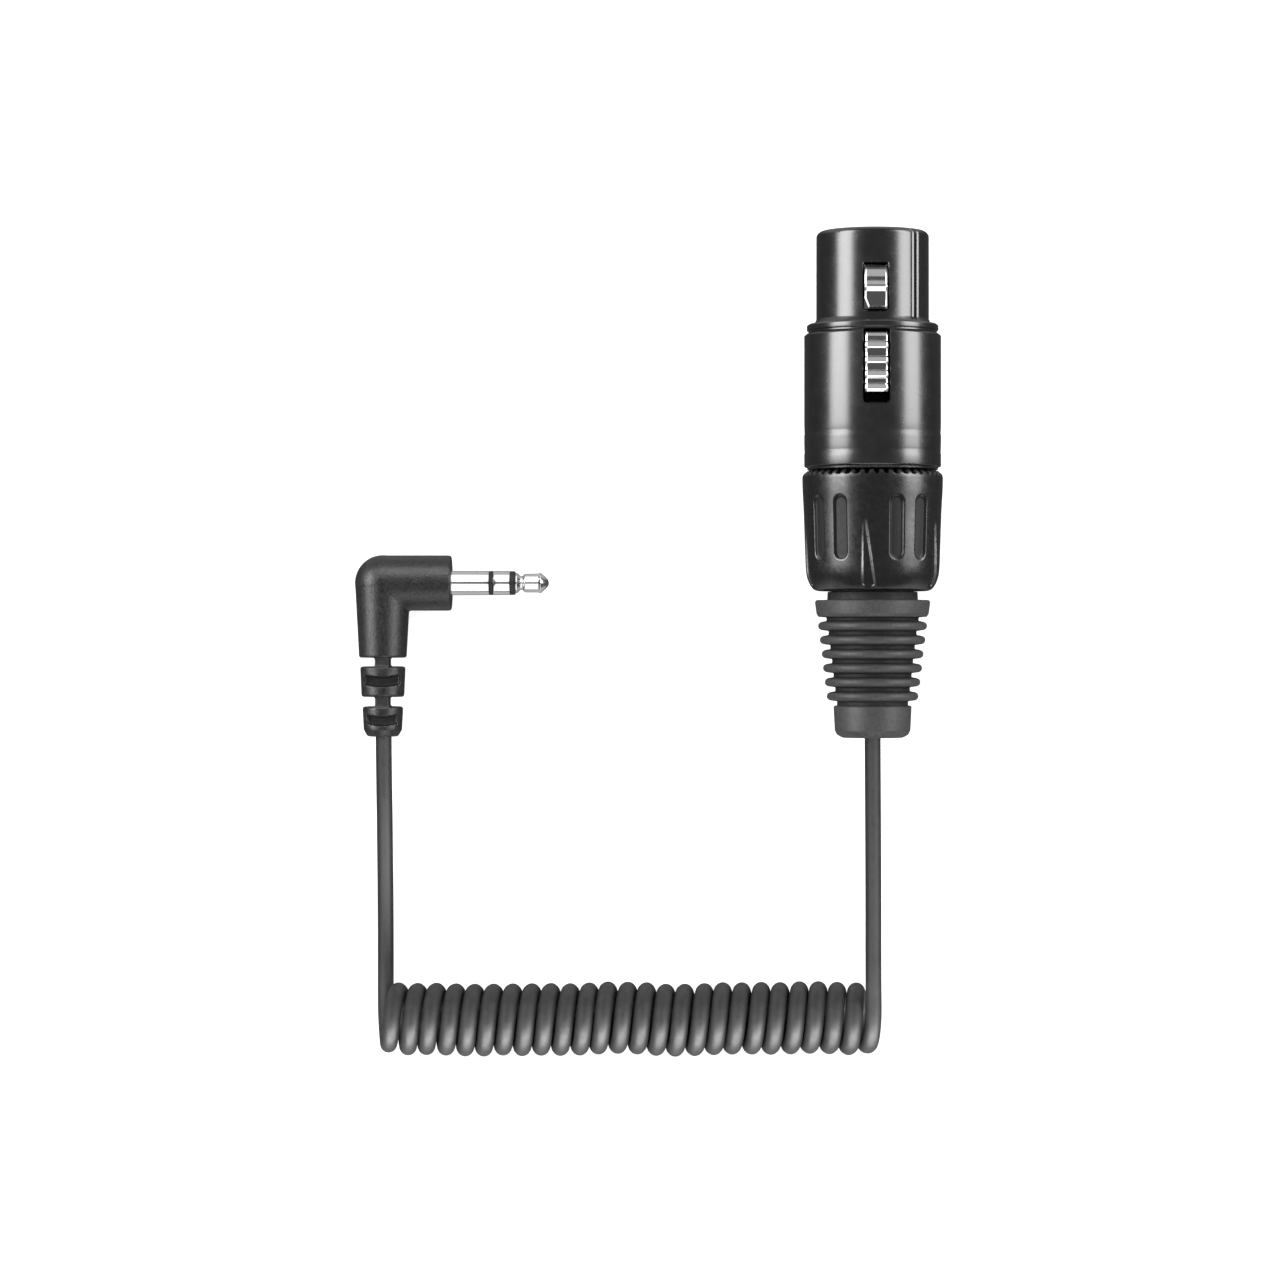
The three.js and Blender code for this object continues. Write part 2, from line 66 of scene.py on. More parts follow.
# ---------------------------------------------------------------- dimensions (mm, the model's own frame)
XLR = Vector((32.0, 36.0, 10.0))  # rim centre, axis runs towards -Y
JX, JY, JZ = -38.1, -13.9, 4.0  # elbow's corner
FACE_X = -28.2
JACK_END = -36.0
LENGTH = 72.0
COIL_Y, COIL_Z = -76.55, 5.25
WIND_R, PITCH, TURNS = 3.95, 2.74, 25.5
LEAD_R, STRAND_R = 1.15, 1.25

ROOM, DARK = 0.55, 0.085  # brightness of the room on matt and on shiny surfaces

# ---------------------------------------------------------------- camera
cam_data = bpy.data.cameras.new("camera")
cam_data.sensor_width = 36.0
cam_data.lens = 106.7
cam = bpy.data.objects.new("camera", cam_data)
cam.location = (-1.1 * MM, -22.1 * MM, 0.550)
cam.rotation_euler = (0, 0, 0)
coll.objects.link(cam)
scene.camera = cam


# ---------------------------------------------------------------- mesh helpers
def new_object(name, mesh):
    o = bpy.data.objects.new(name, mesh)
    coll.objects.link(o)
    return o


def mesh_of(name, verts, faces):
    """verts in mm."""
    m = bpy.data.meshes.new(name)
    m.from_pydata([tuple(c * MM for c in v) for v in verts], [], faces)
    m.validate()
    bm = bmesh.new()
    bm.from_mesh(m)
    bmesh.ops.remove_doubles(bm, verts=bm.verts, dist=1e-7)
    bmesh.ops.recalc_face_normals(bm, faces=bm.faces)
    bm.to_mesh(m)
    bm.free()
    return m


def smooth(o, angle=35):
    o.data.shade_smooth()
    o.data.set_sharp_from_angle(angle=math.radians(angle))


def rounded(profile, steps=4):
    """A closed or open line of (r, s) or (r, s, fillet) points, with its corners rounded."""
    out = []
    n = len(profile)
    for i, p in enumerate(profile):
        f = p[2] if len(p) > 2 else 0
        if not f or i in (0, n - 1) and not getattr(rounded, "closed", False):
            out.append((p[0], p[1]))
            continue
        a, b, c = Vector(profile[i - 1][:2]), Vector(p[:2]), Vector(profile[(i + 1) % n][:2])
        u, v = (a - b), (c - b)
        lu, lv = u.length, v.length
        if lu < 1e-9 or lv < 1e-9:
            out.append((p[0], p[1]))
            continue
        u, v = u / lu, v / lv
        ang = u.angle(v)
        if ang > math.radians(176) or ang < math.radians(4):
            out.append((p[0], p[1]))
            continue
        d = min(f / math.tan(ang / 2), lu * 0.7, lv * 0.7)
        rr = d * math.tan(ang / 2)
        centre = b + (u + v).normalized() * (rr / math.sin(ang / 2))
        s0, s1 = b + u * d - centre, b + v * d - centre
        total = s0.angle(s1)
        for k in range(steps + 1):
            t = k / steps
            q = (s0 * math.sin((1 - t) * total) + s1 * math.sin(t * total)) / math.sin(total)
            out.append(tuple(centre + q))
    return out


def lathe(name, profile, origin, axis, e1, segs=96, closed=True, steps=4, fillets=True):
    """Turn (radius, distance[, fillet]) points about an axis. closed joins the last point to the first; points on the axis close it there."""
    rounded.closed = closed
    pts = rounded(profile, steps) if fillets else [p[:2] for p in profile]
    axis, e1, origin = Vector(axis), Vector(e1), Vector(origin)
    e2 = axis.cross(e1)
    verts, rings = [], []
    for r, s in pts:
        if r < 1e-6:
            rings.append([len(verts)])
            verts.append(origin + axis * s)
        else:
            rings.append(list(range(len(verts), len(verts) + segs)))
            for k in range(segs):
                a = 2 * math.pi * k / segs
                verts.append(origin + axis * s + (e1 * math.cos(a) + e2 * math.sin(a)) * r)
    faces = []
    pairs = list(zip(rings, rings[1:])) + ([(rings[-1], rings[0])] if closed else [])
    for p, q in pairs:
        if len(p) == 1 and len(q) == 1:
            continue
        for k in range(segs):
            j = (k + 1) % segs
            if len(p) == 1:
                faces.append((p[0], q[k], q[j]))
            elif len(q) == 1:
                faces.append((p[k], q[0], p[j]))
            else:
                faces.append((p[k], q[k], q[j], p[j]))
    return new_object(name, mesh_of(name, verts, faces))


def xlr_lathe(name, profile, segs=128, **k):
    return lathe(name, profile, XLR, (0, -1, 0), (0, 0, 1), segs, **k)


def box_mesh(name, x0, x1, y0, y1, z0, z1, top=0.0, bevel=0.0):
    """A box, wider by top on every side at its upper end. Corners along Z rounded by bevel."""
    bm = bmesh.new()
    if bevel:
        loops = []
        for z, g in ((z0, 0.0), (z1, top)):
            ring = []
            for cx, cy, a0 in ((x1 - bevel, y1 - bevel, 0), (x0 + bevel, y1 - bevel, 90), (x0 + bevel, y0 + bevel, 180), (x1 - bevel, y0 + bevel, 270)):
                for k in range(5):
                    a = math.radians(a0 + 22.5 * k)
                    ring.append(bm.verts.new(((cx + (bevel + g) * math.cos(a)) * MM, (cy + (bevel + g) * math.sin(a)) * MM, z * MM)))
            loops.append(ring)
        n = len(loops[0])
        for k in range(n):
            bm.faces.new((loops[0][k], loops[0][(k + 1) % n], loops[1][(k + 1) % n], loops[1][k]))
        bm.faces.new(list(reversed(loops[0])))
        bm.faces.new(loops[1])
    else:
        v = [bm.verts.new((x * MM, y * MM, z * MM)) for z, g in ((z0, 0), (z1, top)) for x, y in ((x0 - g, y0 - g), (x1 + g, y0 - g), (x1 + g, y1 + g), (x0 - g, y1 + g))]
        for f in ((3, 2, 1, 0), (4, 5, 6, 7), (0, 1, 5, 4), (1, 2, 6, 5), (2, 3, 7, 6), (3, 0, 4, 7)):
            bm.faces.new([v[i] for i in f])
    bmesh.ops.recalc_face_normals(bm, faces=bm.faces)
    m = bpy.data.meshes.new(name)
    bm.to_mesh(m)
    bm.free()
    return new_object(name, m)


def turn_about_xlr(o, degrees):
    """Turn a cutter about the connector's axis, from the top towards +X."""
    c = XLR * MM
    o.data.transform(Matrix.Translation(c) @ Matrix.Rotation(math.radians(degrees), 4, "Y") @ Matrix.Translation(-c))


def boolean(o, others, operation="DIFFERENCE"):
    for c in others:
        m = o.modifiers.new("cut", "BOOLEAN")
        m.object = c
        m.operation = operation
        m.solver = "EXACT"
    apply_modifiers(o)
    for c in others:
        d = c.data
        bpy.data.objects.remove(c)
        bpy.data.meshes.remove(d)


def apply_modifiers(o):
    dg = bpy.context.evaluated_depsgraph_get()
    dg.update()
    m = bpy.data.meshes.new_from_object(o.evaluated_get(dg))
    old = o.data
    o.modifiers.clear()
    o.data = m
    bpy.data.meshes.remove(old)


def join(name, objects):
    bm = bmesh.new()
    for o in objects:
        bm.from_mesh(o.data)
        d = o.data
        bpy.data.objects.remove(o)
        bpy.data.meshes.remove(d)
    m = bpy.data.meshes.new(name)
    bm.to_mesh(m)
    bm.free()
    return new_object(name, m)


def bevel(o, width, segments=2, angle=30):
    m = o.modifiers.new("edge", "BEVEL")
    m.width = width * MM
    m.segments = segments
    m.limit_method = "ANGLE"
    m.angle_limit = math.radians(angle)
    m.use_clamp_overlap = True
    m.miter_outer = "MITER_ARC"


def tube_along(name, points, radii, sides=16, caps=True):
    """A round tube with rings at the points (mm)."""
    pts = [Vector(p) for p in points]
    n = len(pts)
    tang = [(pts[min(i + 1, n - 1)] - pts[max(i - 1, 0)]).normalized() for i in range(n)]
    up = Vector((0, 0, 1)) if abs(tang[0].z) < 0.9 else Vector((1, 0, 0))
    side = tang[0].cross(up).normalized()
    verts, faces = [], []
    for i in range(n):
        t = tang[i]
        side = (side - t * side.dot(t)).normalized()
        other = t.cross(side)
        r = radii[i] if isinstance(radii, (list, tuple)) else radii
        for k in range(sides):
            a = 2 * math.pi * k / sides
            verts.append(pts[i] + (side * math.cos(a) + other * math.sin(a)) * r)
    for i in range(n - 1):
        for k in range(sides):
            j = (k + 1) % sides
            faces.append((i * sides + k, i * sides + j, (i + 1) * sides + j, (i + 1) * sides + k))
    if caps:
        faces.append(tuple(range(sides)))
        faces.append(tuple(range((n - 1) * sides, n * sides)))
    return new_object(name, mesh_of(name, verts, faces))


# ---------------------------------------------------------------- materials
def shade(o, f, name="painted_shade_and_matte"):
    """Marks the places (0 to 1) for an attribute the materials read; f takes a point in mm. Under the default name it
    marks painted shade (darker, duller colour) in recesses, under parts and on the straight leads, and the darker,
    duller floors of the collar's grip slots; under "edge" it marks a painted highlight.
    """
    a = o.data.attributes.new(name, "FLOAT", "POINT")
    a.data.foreach_set("value", [f(v.co / MM) for v in o.data.vertices])


def soft(e0, e1, x):
    t = min(1.0, max(0.0, (x - e0) / (e1 - e0)))
    return t * t * (3 - 2 * t)


def material(name, base, rough, metallic=0.0, grain=(), mottle=None, rough_var=None, spec=0.5, coat=0.0, coat_rough=0.1, sheen=0.0, lines=None, dirt=None, painted_shade_and_matte=None, edge=None):
    """The shade-attribute argument, (colour, added roughness), applies where that attribute is 1: painted shade in
    recesses, under parts and on the straight leads, and darker, duller floors in the collar's grip slots. edge: a
    colour mixed in where the "edge" attribute is 1, a painted highlight. grain: (scale per metre, bump strength,
    distance mm) entries. mottle: (scale, amount). rough_var: (scale, amount).
    lines: (direction, scale, strength) for turned or drawn marks."""
    m = bpy.data.materials.new(name)
    m.use_nodes = True
    nt = m.node_tree
    n, l = nt.nodes, nt.links
    n.clear()
    out = n.new("ShaderNodeOutputMaterial")
    b = n.new("ShaderNodeBsdfPrincipled")
    l.new(b.outputs["BSDF"], out.inputs["Surface"])
    b.inputs["Metallic"].default_value = metallic
    b.inputs["Specular IOR Level"].default_value = spec
    b.inputs["Coat Weight"].default_value = coat
    b.inputs["Coat Roughness"].default_value = coat_rough
    b.inputs["Sheen Weight"].default_value = sheen
    tc = n.new("ShaderNodeTexCoord")

    def noise_tex(scale, detail=3.0, rough_=0.55, stretch=None):
        t = n.new("ShaderNodeTexNoise")
        t.inputs["Scale"].default_value = scale
        t.inputs["Detail"].default_value = detail
        t.inputs["Roughness"].default_value = rough_
        if stretch:
            mp = n.new("ShaderNodeMapping")
            mp.inputs["Scale"].default_value = stretch
            l.new(tc.outputs["Object"], mp.inputs["Vector"])
            l.new(mp.outputs["Vector"], t.inputs["Vector"])
        else:
            l.new(tc.outputs["Object"], t.inputs["Vector"])
        return t

    # colour
    ms, ma = mottle or (900.0, 0.12)
    t = noise_tex(ms, 4.0)
    ramp = n.new("ShaderNodeValToRGB")
    lo, hi = [max(0.0, c * (1 - ma)) for c in base], [min(1.0, c * (1 + ma)) for c in base]
    ramp.color_ramp.elements[0].position = 0.3
    ramp.color_ramp.elements[0].color = (*lo, 1)
    ramp.color_ramp.elements[1].position = 0.7
    ramp.color_ramp.elements[1].color = (*hi, 1)
    l.new(t.outputs["Fac"], ramp.inputs["Fac"])
    colour = ramp.outputs["Color"]
    if dirt:  # fine dust or specks: (scale, amount, colour)
        ds, da, dc = dirt
        v = noise_tex(ds, 2.0, 0.7)
        r2 = n.new("ShaderNodeValToRGB")
        r2.color_ramp.elements[0].position = 0.66
        r2.color_ramp.elements[0].color = (0, 0, 0, 1)
        r2.color_ramp.elements[1].position = 0.76
        r2.color_ramp.elements[1].color = (da, da, da, 1)
        l.new(v.outputs["Fac"], r2.inputs["Fac"])
        mx = n.new("ShaderNodeMix")
        mx.data_type = "RGBA"
        l.new(r2.outputs["Color"], mx.inputs["Factor"])
        l.new(colour, mx.inputs["A"])
        mx.inputs["B"].default_value = (*dc, 1)
        colour = mx.outputs["Result"]
    # painted shade, and on the collar the darker, duller slot floors: the colour is mixed towards a darker one where
    # the shade attribute is 1
    if painted_shade_and_matte:
        at = n.new("ShaderNodeAttribute")
        at.attribute_name = "painted_shade_and_matte"
        mx = n.new("ShaderNodeMix")
        mx.data_type = "RGBA"
        l.new(at.outputs["Fac"], mx.inputs["Factor"])
        l.new(colour, mx.inputs["A"])
        mx.inputs["B"].default_value = (*painted_shade_and_matte[0], 1)
        colour = mx.outputs["Result"]
    if edge:  # painted highlight: the colour is mixed towards a bright one where the "edge" attribute is 1
        ae = n.new("ShaderNodeAttribute")
        ae.attribute_name = "edge"
        mx = n.new("ShaderNodeMix")
        mx.data_type = "RGBA"
        l.new(ae.outputs["Fac"], mx.inputs["Factor"])
        l.new(colour, mx.inputs["A"])
        mx.inputs["B"].default_value = (*edge, 1)
        colour = mx.outputs["Result"]
    l.new(colour, b.inputs["Base Color"])
    # roughness
    rs, ra = rough_var or (1500.0, 0.05)
    t = noise_tex(rs, 3.0)
    mr = n.new("ShaderNodeMapRange")
    mr.inputs["From Min"].default_value = 0.3
    mr.inputs["From Max"].default_value = 0.7
    mr.inputs["To Min"].default_value = max(0.02, rough - ra)
    mr.inputs["To Max"].default_value = min(1.0, rough + ra)
    l.new(t.outputs["Fac"], mr.inputs["Value"])
    roughness = mr.outputs["Result"]
    if painted_shade_and_matte:
        ad = n.new("ShaderNodeMath")
        ad.operation = "MULTIPLY_ADD"
        l.new(at.outputs["Fac"], ad.inputs[0])
        ad.inputs[1].default_value = painted_shade_and_matte[1]
        l.new(roughness, ad.inputs[2])
        roughness = ad.outputs["Value"]
    l.new(roughness, b.inputs["Roughness"])
    # bump
    normal = None
    for scale, strength, dist in grain:
        t = noise_tex(scale, 2.5, 0.6)
        bp = n.new("ShaderNodeBump")
        bp.inputs["Strength"].default_value = strength
        bp.inputs["Distance"].default_value = dist * MM
        l.new(t.outputs["Fac"], bp.inputs["Height"])
        if normal:
            l.new(normal, bp.inputs["Normal"])
        normal = bp.outputs["Normal"]
    if lines:
        stretch, scale, strength, dist = lines
        t = noise_tex(scale, 2.0, 0.5, stretch)
        bp = n.new("ShaderNodeBump")
        bp.inputs["Strength"].default_value = strength
        bp.inputs["Distance"].default_value = dist * MM
        l.new(t.outputs["Fac"], bp.inputs["Height"])
        if normal:
            l.new(normal, bp.inputs["Normal"])
        normal = bp.outputs["Normal"]
    if normal:
        l.new(normal, b.inputs["Normal"])
    return m


M = {
    "black_chrome": material("black_chrome", (0.200, 0.200, 0.202), 0.26, 1.0, grain=[(2600, 0.03, 0.01)], mottle=(500, 0.06), rough_var=(500, 0.02), lines=((1, 9, 1), 900, 0.02, 0.006), dirt=(5200, 0.08, (0.22, 0.22, 0.22))),
    # satin_black: darker, duller floors in the grip slots, and a painted highlight along the flute walls
    "satin_black": material("satin_black", (0.168, 0.168, 0.170), 0.30, 1.0, grain=[(5200, 0.14, 0.03)], mottle=(900, 0.10), rough_var=(1500, 0.05), dirt=(4200, 0.15, (0.20, 0.20, 0.20)), painted_shade_and_matte=((0.085, 0.085, 0.086), 0.28), edge=(0.66, 0.66, 0.66)),
    # chrome: painted shade on the lever's parts low under the shell
    "chrome": material("chrome", (0.84, 0.84, 0.85), 0.10, 1.0, grain=[(3500, 0.03, 0.01)], mottle=(1400, 0.04), rough_var=(1200, 0.04), lines=((6, 1, 1), 1500, 0.03, 0.01), painted_shade_and_matte=((0.02, 0.02, 0.02), 0.4)),
    "nickel": material("nickel", (0.88, 0.88, 0.88), 0.11, 1.0, grain=[(3000, 0.02, 0.01)], mottle=(1200, 0.04), rough_var=(900, 0.04), lines=((8, 1, 1), 900, 0.02, 0.008)),
    "steel": material("steel", (0.55, 0.55, 0.57), 0.3, 1.0, grain=[(4000, 0.1, 0.01)]),
    "gold": material("gold", (0.78, 0.60, 0.30), 0.25, 1.0, grain=[(4000, 0.08, 0.01)], mottle=(1500, 0.08)),
    "solder": material("solder", (0.62, 0.62, 0.63), 0.35, 1.0, grain=[(1800, 0.3, 0.05)]),
    "insulator": material("insulator", (0.012, 0.012, 0.013), 0.42, 0.0, grain=[(4500, 0.1, 0.02)], mottle=(900, 0.2)),
    "white_plastic": material("white_plastic", (0.70, 0.69, 0.64), 0.45, 0.0, grain=[(3500, 0.1, 0.02)], mottle=(700, 0.05)),
    # rubber: painted shade in the boot's valleys and behind the collar
    "rubber": material("boot_rubber", (0.054, 0.054, 0.054), 0.50, 0.0, grain=[(6500, 0.30, 0.04), (900, 0.10, 0.05)], mottle=(2300, 0.24), rough_var=(1600, 0.07), spec=0.55, dirt=(5200, 0.25, (0.14, 0.14, 0.14)), painted_shade_and_matte=((0.010, 0.010, 0.010), 0.2)),
    # mould: painted shade in the relief's notches and on its spines
    "mould": material("jack_mould", (0.019, 0.019, 0.019), 0.36, 0.0, grain=[(4200, 0.55, 0.07), (1700, 0.35, 0.08)], mottle=(2600, 0.55), rough_var=(1800, 0.08), spec=0.6, dirt=(4200, 0.3, (0.10, 0.10, 0.10)), painted_shade_and_matte=((0.006, 0.006, 0.006), 0.25)),
    # cord: painted shade on the straight leads
    "cord": material("cord_jacket", (0.046, 0.046, 0.046), 0.50, 0.0, grain=[(3800, 0.12, 0.03), (700, 0.10, 0.06)], mottle=(650, 0.18), rough_var=(900, 0.07), spec=0.6, dirt=(4500, 0.25, (0.13, 0.13, 0.13)), painted_shade_and_matte=((0.026, 0.026, 0.026), 0.0)),
    "wire_red": material("wire_red", (0.45, 0.02, 0.02), 0.35, 0.0, grain=[(3000, 0.1, 0.02)]),
    "wire_white": material("wire_white", (0.75, 0.75, 0.72), 0.35, 0.0, grain=[(3000, 0.1, 0.02)]),
    "copper": material("copper", (0.75, 0.36, 0.18), 0.3, 1.0, grain=[(6000, 0.4, 0.05)], lines=((1, 6, 1), 2500, 0.4, 0.05)),
}


def finish_piece(o, mat, body, slot, *nodes, angle=35):
    o.data.materials.clear()
    o.data.materials.append(M[mat])
    if angle:
        smooth(o, angle)
    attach(o, body)
    if nodes:
        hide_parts(*nodes)
    return o


# ---------------------------------------------------------------- cord: lead, coil, lead, on one line
# how far the winding strays from a straight row, (turn, mm), as the photo shows it
STRAY = ((0.0, 0.0), (1.1, -0.07), (2.7, 0.14), (4.3, 0.07), (5.9, 0.0), (7.4, -0.21), (9.0, -0.14), (10.6, -0.07), (12.2, 0.14), (13.8, 0.21), (15.4, 0.07), (16.9, 0.0), (18.5, 0.07), (20.1, 0.29), (21.7, 0.40), (23.3, 0.21), (24.6, 0.05), (25.5, 0.0), (99.0, 0.0))


def stray(k):
    for (k0, v0), (k1, v1) in zip(STRAY, STRAY[1:]):
        if k <= k1:
            t = (k - k0) / (k1 - k0)
            return v0 + (v1 - v0) * t * t * (3 - 2 * t)
    return 0.0


def cord_line():
    """Centre points from the angled plug to the large connector, and the radius at each."""
    pts, rad = [], []
    x0 = -37.975

    def lead_in(t):  # t 0..1 from the plug's relief to where the first turn starts
        y = JACK_END + 0.6 + (COIL_Y - (JACK_END + 0.6)) * t
        d = -y - 35.4
        # straight out for 6 mm, then down to the standing surface in one easy curve
        s = min(1.0, max(0.0, (d - 5.0) / 26.0))
        s = s * s * (3 - 2 * s)
        z = JZ + (1.30 - JZ) * s
        x = -38.0 + 0.13 * min(1.0, d / 12.0) + (x0 + 0.10 - -37.87) * max(0.0, (d - 30) / 11.0) ** 2
        return Vector((x, y, z))

    n = 40
    for i in range(n):
        pts.append(lead_in(i / n))
        rad.append(LEAD_R)
    per = 26
    total = int(TURNS * per)
    for i in range(total + 1):
        f = 2 * math.pi * i / per
        k = f / (2 * math.pi)
        turn = f / (2 * math.pi)
        # each turn sits a little differently
        wob = 0.07 * noise.noise(Vector((turn * 0.9, 3.1, 0.0)))
        axial = 0.13 * noise.noise(Vector((turn * 0.75, 0.0, 7.7)))
        # ends of the winding ease in
        e0, e1 = min(1.0, k / 0.6), min(1.0, (TURNS - k) / 1.2)
        r = WIND_R + wob * e0 * min(1.0, e1)
        lean = 0.16 * math.sin(f) * min(1.0, k / 2)  # a lean towards the camera's side; it is multiplied by 0 below, so the strands do not lean
        x = x0 + 0.10 + PITCH * k + axial * e0 * e1 - 0.0 * lean
        # the last turns stand a bit more upright at the top and tuck in below
        late = max(0.0, (k - 20.0) / 5.5)
        x += -0.30 * late * (1 - math.cos(f - math.pi / 2 - 2 * math.pi * 0)) * 0.5 * (1 if k < TURNS - 0.0 else 0) + 0.27 * late
        sway = 0.34 * noise.noise(Vector((turn * 0.31, 11.3, 2.0))) * e0 * min(1.0, e1)
        y = COIL_Y + sway + stray(k) - r * math.sin(f)
        z = COIL_Z - r * math.cos(f)
        pts.append(Vector((x, y, max(z, STRAND_R + 0.04))))
        rad.append(LEAD_R + (STRAND_R - LEAD_R) * min(1.0, k / 0.5) * min(1.0, (TURNS - k) / 0.16) + 0.035 * late)
    end = pts[-1].copy()
    m = 40
    y1 = JACK_END - 0.0
    for i in range(1, m + 1):
        t = i / m
        y = end.y + (y1 + 1.0 - end.y) * t
        d = (y - end.y)
        # leaves the winding along its own slope, then runs straight to the exit
        x = 32.14 + (end.x - 32.14) * math.exp(-d / 4.5) + (32.0 - 32.14) * max(0.0, (d - 14) / 27.5) ** 1.2
        z = end.z + (XLR.z - end.z) * (lambda s: s * s * (3 - 2 * s))(min(1.0, d / 30.0))
        pts.append(Vector((x, y, z)))
        rad.append(LEAD_R)
    return pts, rad


line, radii = cord_line()
# ease the joints between the stretches
for _ in range(6):
    src = [p.copy() for p in line]
    for lo, hi in ((34, 50), (len(line) - 48, len(line) - 30)):
        for i in range(lo, hi):
            line[i] = (src[i - 1] + src[i] * 2 + src[i + 1]) / 4
            radii[i] = (radii[i - 1] + radii[i] * 2 + radii[i + 1]) / 4
cord = tube_along("cord_wound", line, radii, 20)
# painted shade: the two straight leads are coloured darker than the winding
shade(cord, lambda p: soft(COIL_Y + 4.5, COIL_Y + 9.0, p.y))
finish_piece(cord, "cord", "connector", "cord_jacket", "lead_jack", "cord_coil", "lead_xlr", angle=60)

# ---------------------------------------------------------------- large connector: shell
SHELL = [
    (7.05, 0.25, 0.1), (7.15, 0.0), (7.33, 0.02), (7.50, 0.09), (7.66, 0.20), (7.80, 0.34), (7.91, 0.50), (7.98, 0.67), (8.0, 0.88), (8.0, 12.55, 0.05), (8.30, 13.15, 0.10), (9.10, 13.22, 0.10),
    (9.35, 13.45, 0.10), (9.35, 14.08, 0.08), (9.12, 14.2, 0.05), (9.12, 14.42, 0.05), (9.72, 14.85, 0.20),
    (9.72, 27.1), (9.712, 27.7), (9.700, 28.1), (9.684, 28.45), (9.666, 28.75), (9.700, 28.95), (9.732, 29.15), (9.726, 29.5), (9.716, 30.2), (9.702, 30.8), (9.684, 31.2), (9.668, 31.45), (9.700, 31.65), (9.732, 31.85), (9.724, 32.3),
    (9.72, 33.45, 0.15), (9.30, 33.62, 0.05), (9.30, 33.9, 0.05),
    (8.0, 33.9, 0.1), (7.95, 27.0), (7.95, 14.9), (7.1, 14.9), (7.1, 0.3),
]


def key_cut(deg):
    """How far the keyway goes in from the barrel's surface; its far edge is widely rounded."""
    arc = math.radians((deg - 43.5 + 180) % 360 - 180) * 8.0
    table = [(-0.74, 0.0), (-0.70, 0.03), (-0.66, 0.48), (0.02, 0.48), (0.04, 0.42), (0.36, 0.36), (0.38, 0.48), (0.48, 0.48), (0.56, 0.19), (0.64, 0.125), (0.98, 0.0)]
    if arc <= table[0][0] or arc >= table[-1][0]:
        return 0.0
    for (a0, c0), (a1, c1) in zip(table, table[1:]):
        if arc <= a1:
            return c0 + (c1 - c0) * (arc - a0) / (a1 - a0)


def shell_mesh():
    rounded.closed = True
    pts = rounded(SHELL, 4)
    degs = [2.25 * i for i in range(160) if not 36 < 2.25 * i < 52]
    arcs = [-0.95, -0.84, -0.74, -0.70, -0.68, -0.66, -0.50, -0.30, -0.10, 0.02, 0.04, 0.14, 0.26, 0.36, 0.38, 0.48, 0.52, 0.56, 0.60, 0.64, 0.75, 0.86, 0.98, 1.15]
    degs = sorted(degs + [43.5 + math.degrees(v / 8.0) for v in arcs])
    n = len(degs)
    verts, faces = [], []
    for r, u in pts:
        for deg in degs:
            a = math.radians(deg)
            q = r
            if u < 12.7 and r > 7.5:
                q = max(7.5, r - key_cut(deg)) if r > 7.52 else r
            verts.append((XLR.x + q * math.sin(a), XLR.y - u, XLR.z + q * math.cos(a)))
    for i in range(len(pts)):
        p, q = i * n, ((i + 1) % len(pts)) * n
        for k in range(n):
            j = (k + 1) % n
            faces.append((p + k, q + k, q + j, p + j))
    return new_object("shell_casting", mesh_of("shell_casting", verts, faces))


shell = shell_mesh()


def local(x0, x1, u0, u1, z0, z1, **k):
    """A cutter in the connector's own terms: u behind the rim, z above the axis."""
    return box_mesh("cutter", XLR.x + x0, XLR.x + x1, XLR.y - u1, XLR.y - u0, XLR.z + z0, XLR.z + z1, **k)


def thread_ridge(u0, turns, inner, outer, root, per=48):
    """A helical ridge of 1.5 mm pitch, inner and outer as (radius, half width); it rises from root at both ends."""
    tv, tf = [], []
    cnt = int(per * turns)
    for i in range(cnt + 1):
        a = 2 * math.pi * i / per
        u = u0 + 1.5 * i / per
        crest = root + (outer[0] - root) * min(1.0, i / 12, (cnt - i) / 12)
        for r, h in ((inner[0], inner[1]), (crest, outer[1]), (crest, -outer[1]), (inner[0], -inner[1])):
            tv.append((XLR.x - r * math.sin(a), XLR.y - u + h, XLR.z + r * math.cos(a)))
    for i in range(cnt):
        for k in range(4):
            j = (k + 1) % 4
            tf.append((4 * i + k, 4 * i + j, 4 * i + 4 + j, 4 * i + 4 + k))
    tf += [(0, 1, 2, 3), tuple(4 * cnt + k for k in (3, 2, 1, 0))]
    return new_object("thread", mesh_of("thread", tv, tf))


WIN0, WIN1, SLOT0, SLOT1 = 5.05, 11.80, 14.45, 24.80
window = local(-1.76, 1.76, WIN0, WIN1, 5.5, 7.75, bevel=0.35)
window_rim = local(-1.76, 1.76, WIN0, WIN1, 7.60, 8.35, bevel=0.35, top=0.55)
slot_hole = local(-1.86, 1.86, SLOT0, SLOT1, 5.5, 10.3, bevel=0.35)
slot_rim = local(-1.86, 1.86, SLOT0 + 0.35, SLOT1, 9.35, 10.0, bevel=0.35, top=0.45)
inner_thread = thread_ridge(27, 5.125, (7.6, 0.70), (8.65, 0.25), 7.8)
boolean(shell, [window, window_rim, slot_hole, slot_rim, inner_thread])
finish_piece(shell, "black_chrome", "connector", "shell_metal", "xlr_shell", angle=28)

